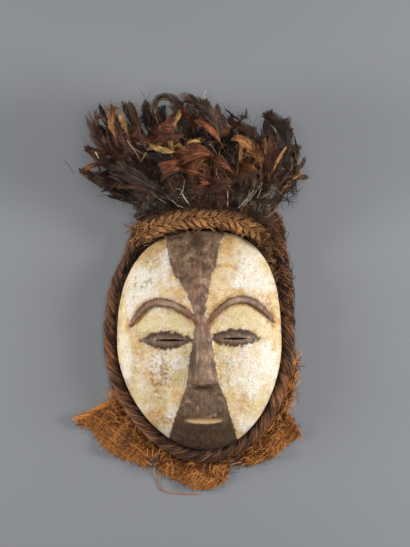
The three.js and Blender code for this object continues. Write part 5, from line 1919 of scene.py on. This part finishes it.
class MASK_OT_ruff(bpy.types.Operator):
    """Lays the four torn scraps of raffia cloth, with their yarns and fringes"""

    bl_idname = "mask.ruff"
    bl_label = "Raffia ruff"

    def execute(self, context):
        for number, (node, stations) in enumerate(RUFF.items()):
            rng = default_rng(40 + number)
            lean = LEAN.get(node, 0.0)
            skin, flat = cloth_skin(stations)
            scrap = node.replace("raffia_cloth", "ruff_scrap")
            sheet = skin.build(scrap, "raffia", node)
            yarns = weave_skin(stations, rng, lean).build(scrap + "_yarns", "raffia")
            torn = fringe_skin(stations, rng, int(18 * (stations[-1][0] - stations[0][0])), lean)
            if node == HEM.node:
                add_hem(torn, rng)
            fringe = torn.build(scrap + "_fringe", "raffia")
        return {"FINISHED"}


class MASK_OT_crest(bpy.types.Operator):
    """Sets the tiers of feathers in the strap and on the rope"""

    bl_idname = "mask.crest"
    bl_label = "Feather crest"

    def execute(self, context):
        for tier, facts in enumerate(TIERS):
            for index in range(facts[0]):
                line, roll, width = tier_feather(tier, index)
                rng = default_rng(100 + tier * 20 + index)
                kind = TIER_KINDS[int(rng.integers(0, len(TIER_KINDS)))]
                number = f"{tier + 1}_{index + 1}"
                add_feather(
                    Skin(), line, width, roll, kind, context.scene.mask_feather, rng, 0.6, bare=0.12,
                ).build(f"crest_feather_{number}", "plume", f"feather_{number}")
        return {"FINISHED"}


class MASK_OT_plumes(bpy.types.Operator):
    """Adds the plumes, the down and the bare quills that stand out of the crest"""

    bl_idname = "mask.plumes"
    bl_label = "Plumes and down"

    def execute(self, context):
        look = context.scene.mask_feather
        tiers = tier_lines()
        for number, (name, plume) in enumerate(PLUMES.items()):
            route, lift, width, roll, twist, ragged, kind, *tip = plume
            rng = default_rng(300 + number)
            tip = tints(tip[0], look, rng)[1] if tip else None
            add_feather(
                Skin(), laid_on_tiers(route, lift, tiers), width, radians(roll), kind, look, rng, ragged,
                fluffy=0.14, tip=tip, twist=radians(twist),
            ).build(f"plume_{name}", "plume")
        for which in range(3):
            rng = default_rng(410 + which)
            tuft_skin(which, look, rng, tiers).build(f"crest_tufts_{which + 1}", "plume")
        down_skin(look, default_rng(400), tiers).build("crest_down", "plume")
        stray_skin(look, default_rng(402), tiers).build("crest_strays", "plume")
        quills_skin(look, default_rng(401), tiers).build("crest_quills", "plume")
        return {"FINISHED"}


OPERATORS = [
    MASK_OT_stage, MASK_OT_thread, MASK_OT_face, MASK_OT_rope, MASK_OT_plait, MASK_OT_wad, MASK_OT_ruff,
    MASK_OT_crest, MASK_OT_plumes,
]


class MASK_PT_panel(bpy.types.Panel):
    """Lists the pieces of the mask"""

    bl_idname = "MASK_PT_panel"
    bl_label = "Galoa dance mask"
    bl_space_type = "VIEW_3D"
    bl_region_type = "UI"
    bl_category = "Mask"

    def draw(self, context):
        for operator in OPERATORS:
            self.layout.operator(operator.bl_idname)


def material_named(name):
    """The material of that name, made when it is first asked for."""
    scene = bpy.context.scene
    made = bpy.data.materials.get(name)
    if made:
        return made
    if name == "painted_wood":
        return kaolin_wood(scene.mask_face)
    return feather_material() if name == "plume" else fibre_material(name, scene.mask_fibre)


GROUPS = {
    "mask_stage": StageLook, "mask_face": FaceLook, "mask_fibre": FibreLook, "mask_feather": FeatherLook,
}


def register():
    for made in (*GROUPS.values(), *OPERATORS, MASK_PT_panel):
        bpy.utils.register_class(made)
    for name, made in GROUPS.items():
        setattr(bpy.types.Scene, name, PointerProperty(type=made))


def unregister():
    for name in GROUPS:
        delattr(bpy.types.Scene, name)
    for made in reversed((*GROUPS.values(), *OPERATORS, MASK_PT_panel)):
        bpy.utils.unregister_class(made)


def main():
    """Makes every piece in order."""
    register()
    for operator in OPERATORS:
        made = getattr(bpy.ops.mask, operator.bl_idname.split(".")[1])()
        if made != {"FINISHED"}:
            raise RuntimeError(f"{operator.bl_label} wasn't finished")


if __name__ == "__main__":
    main()
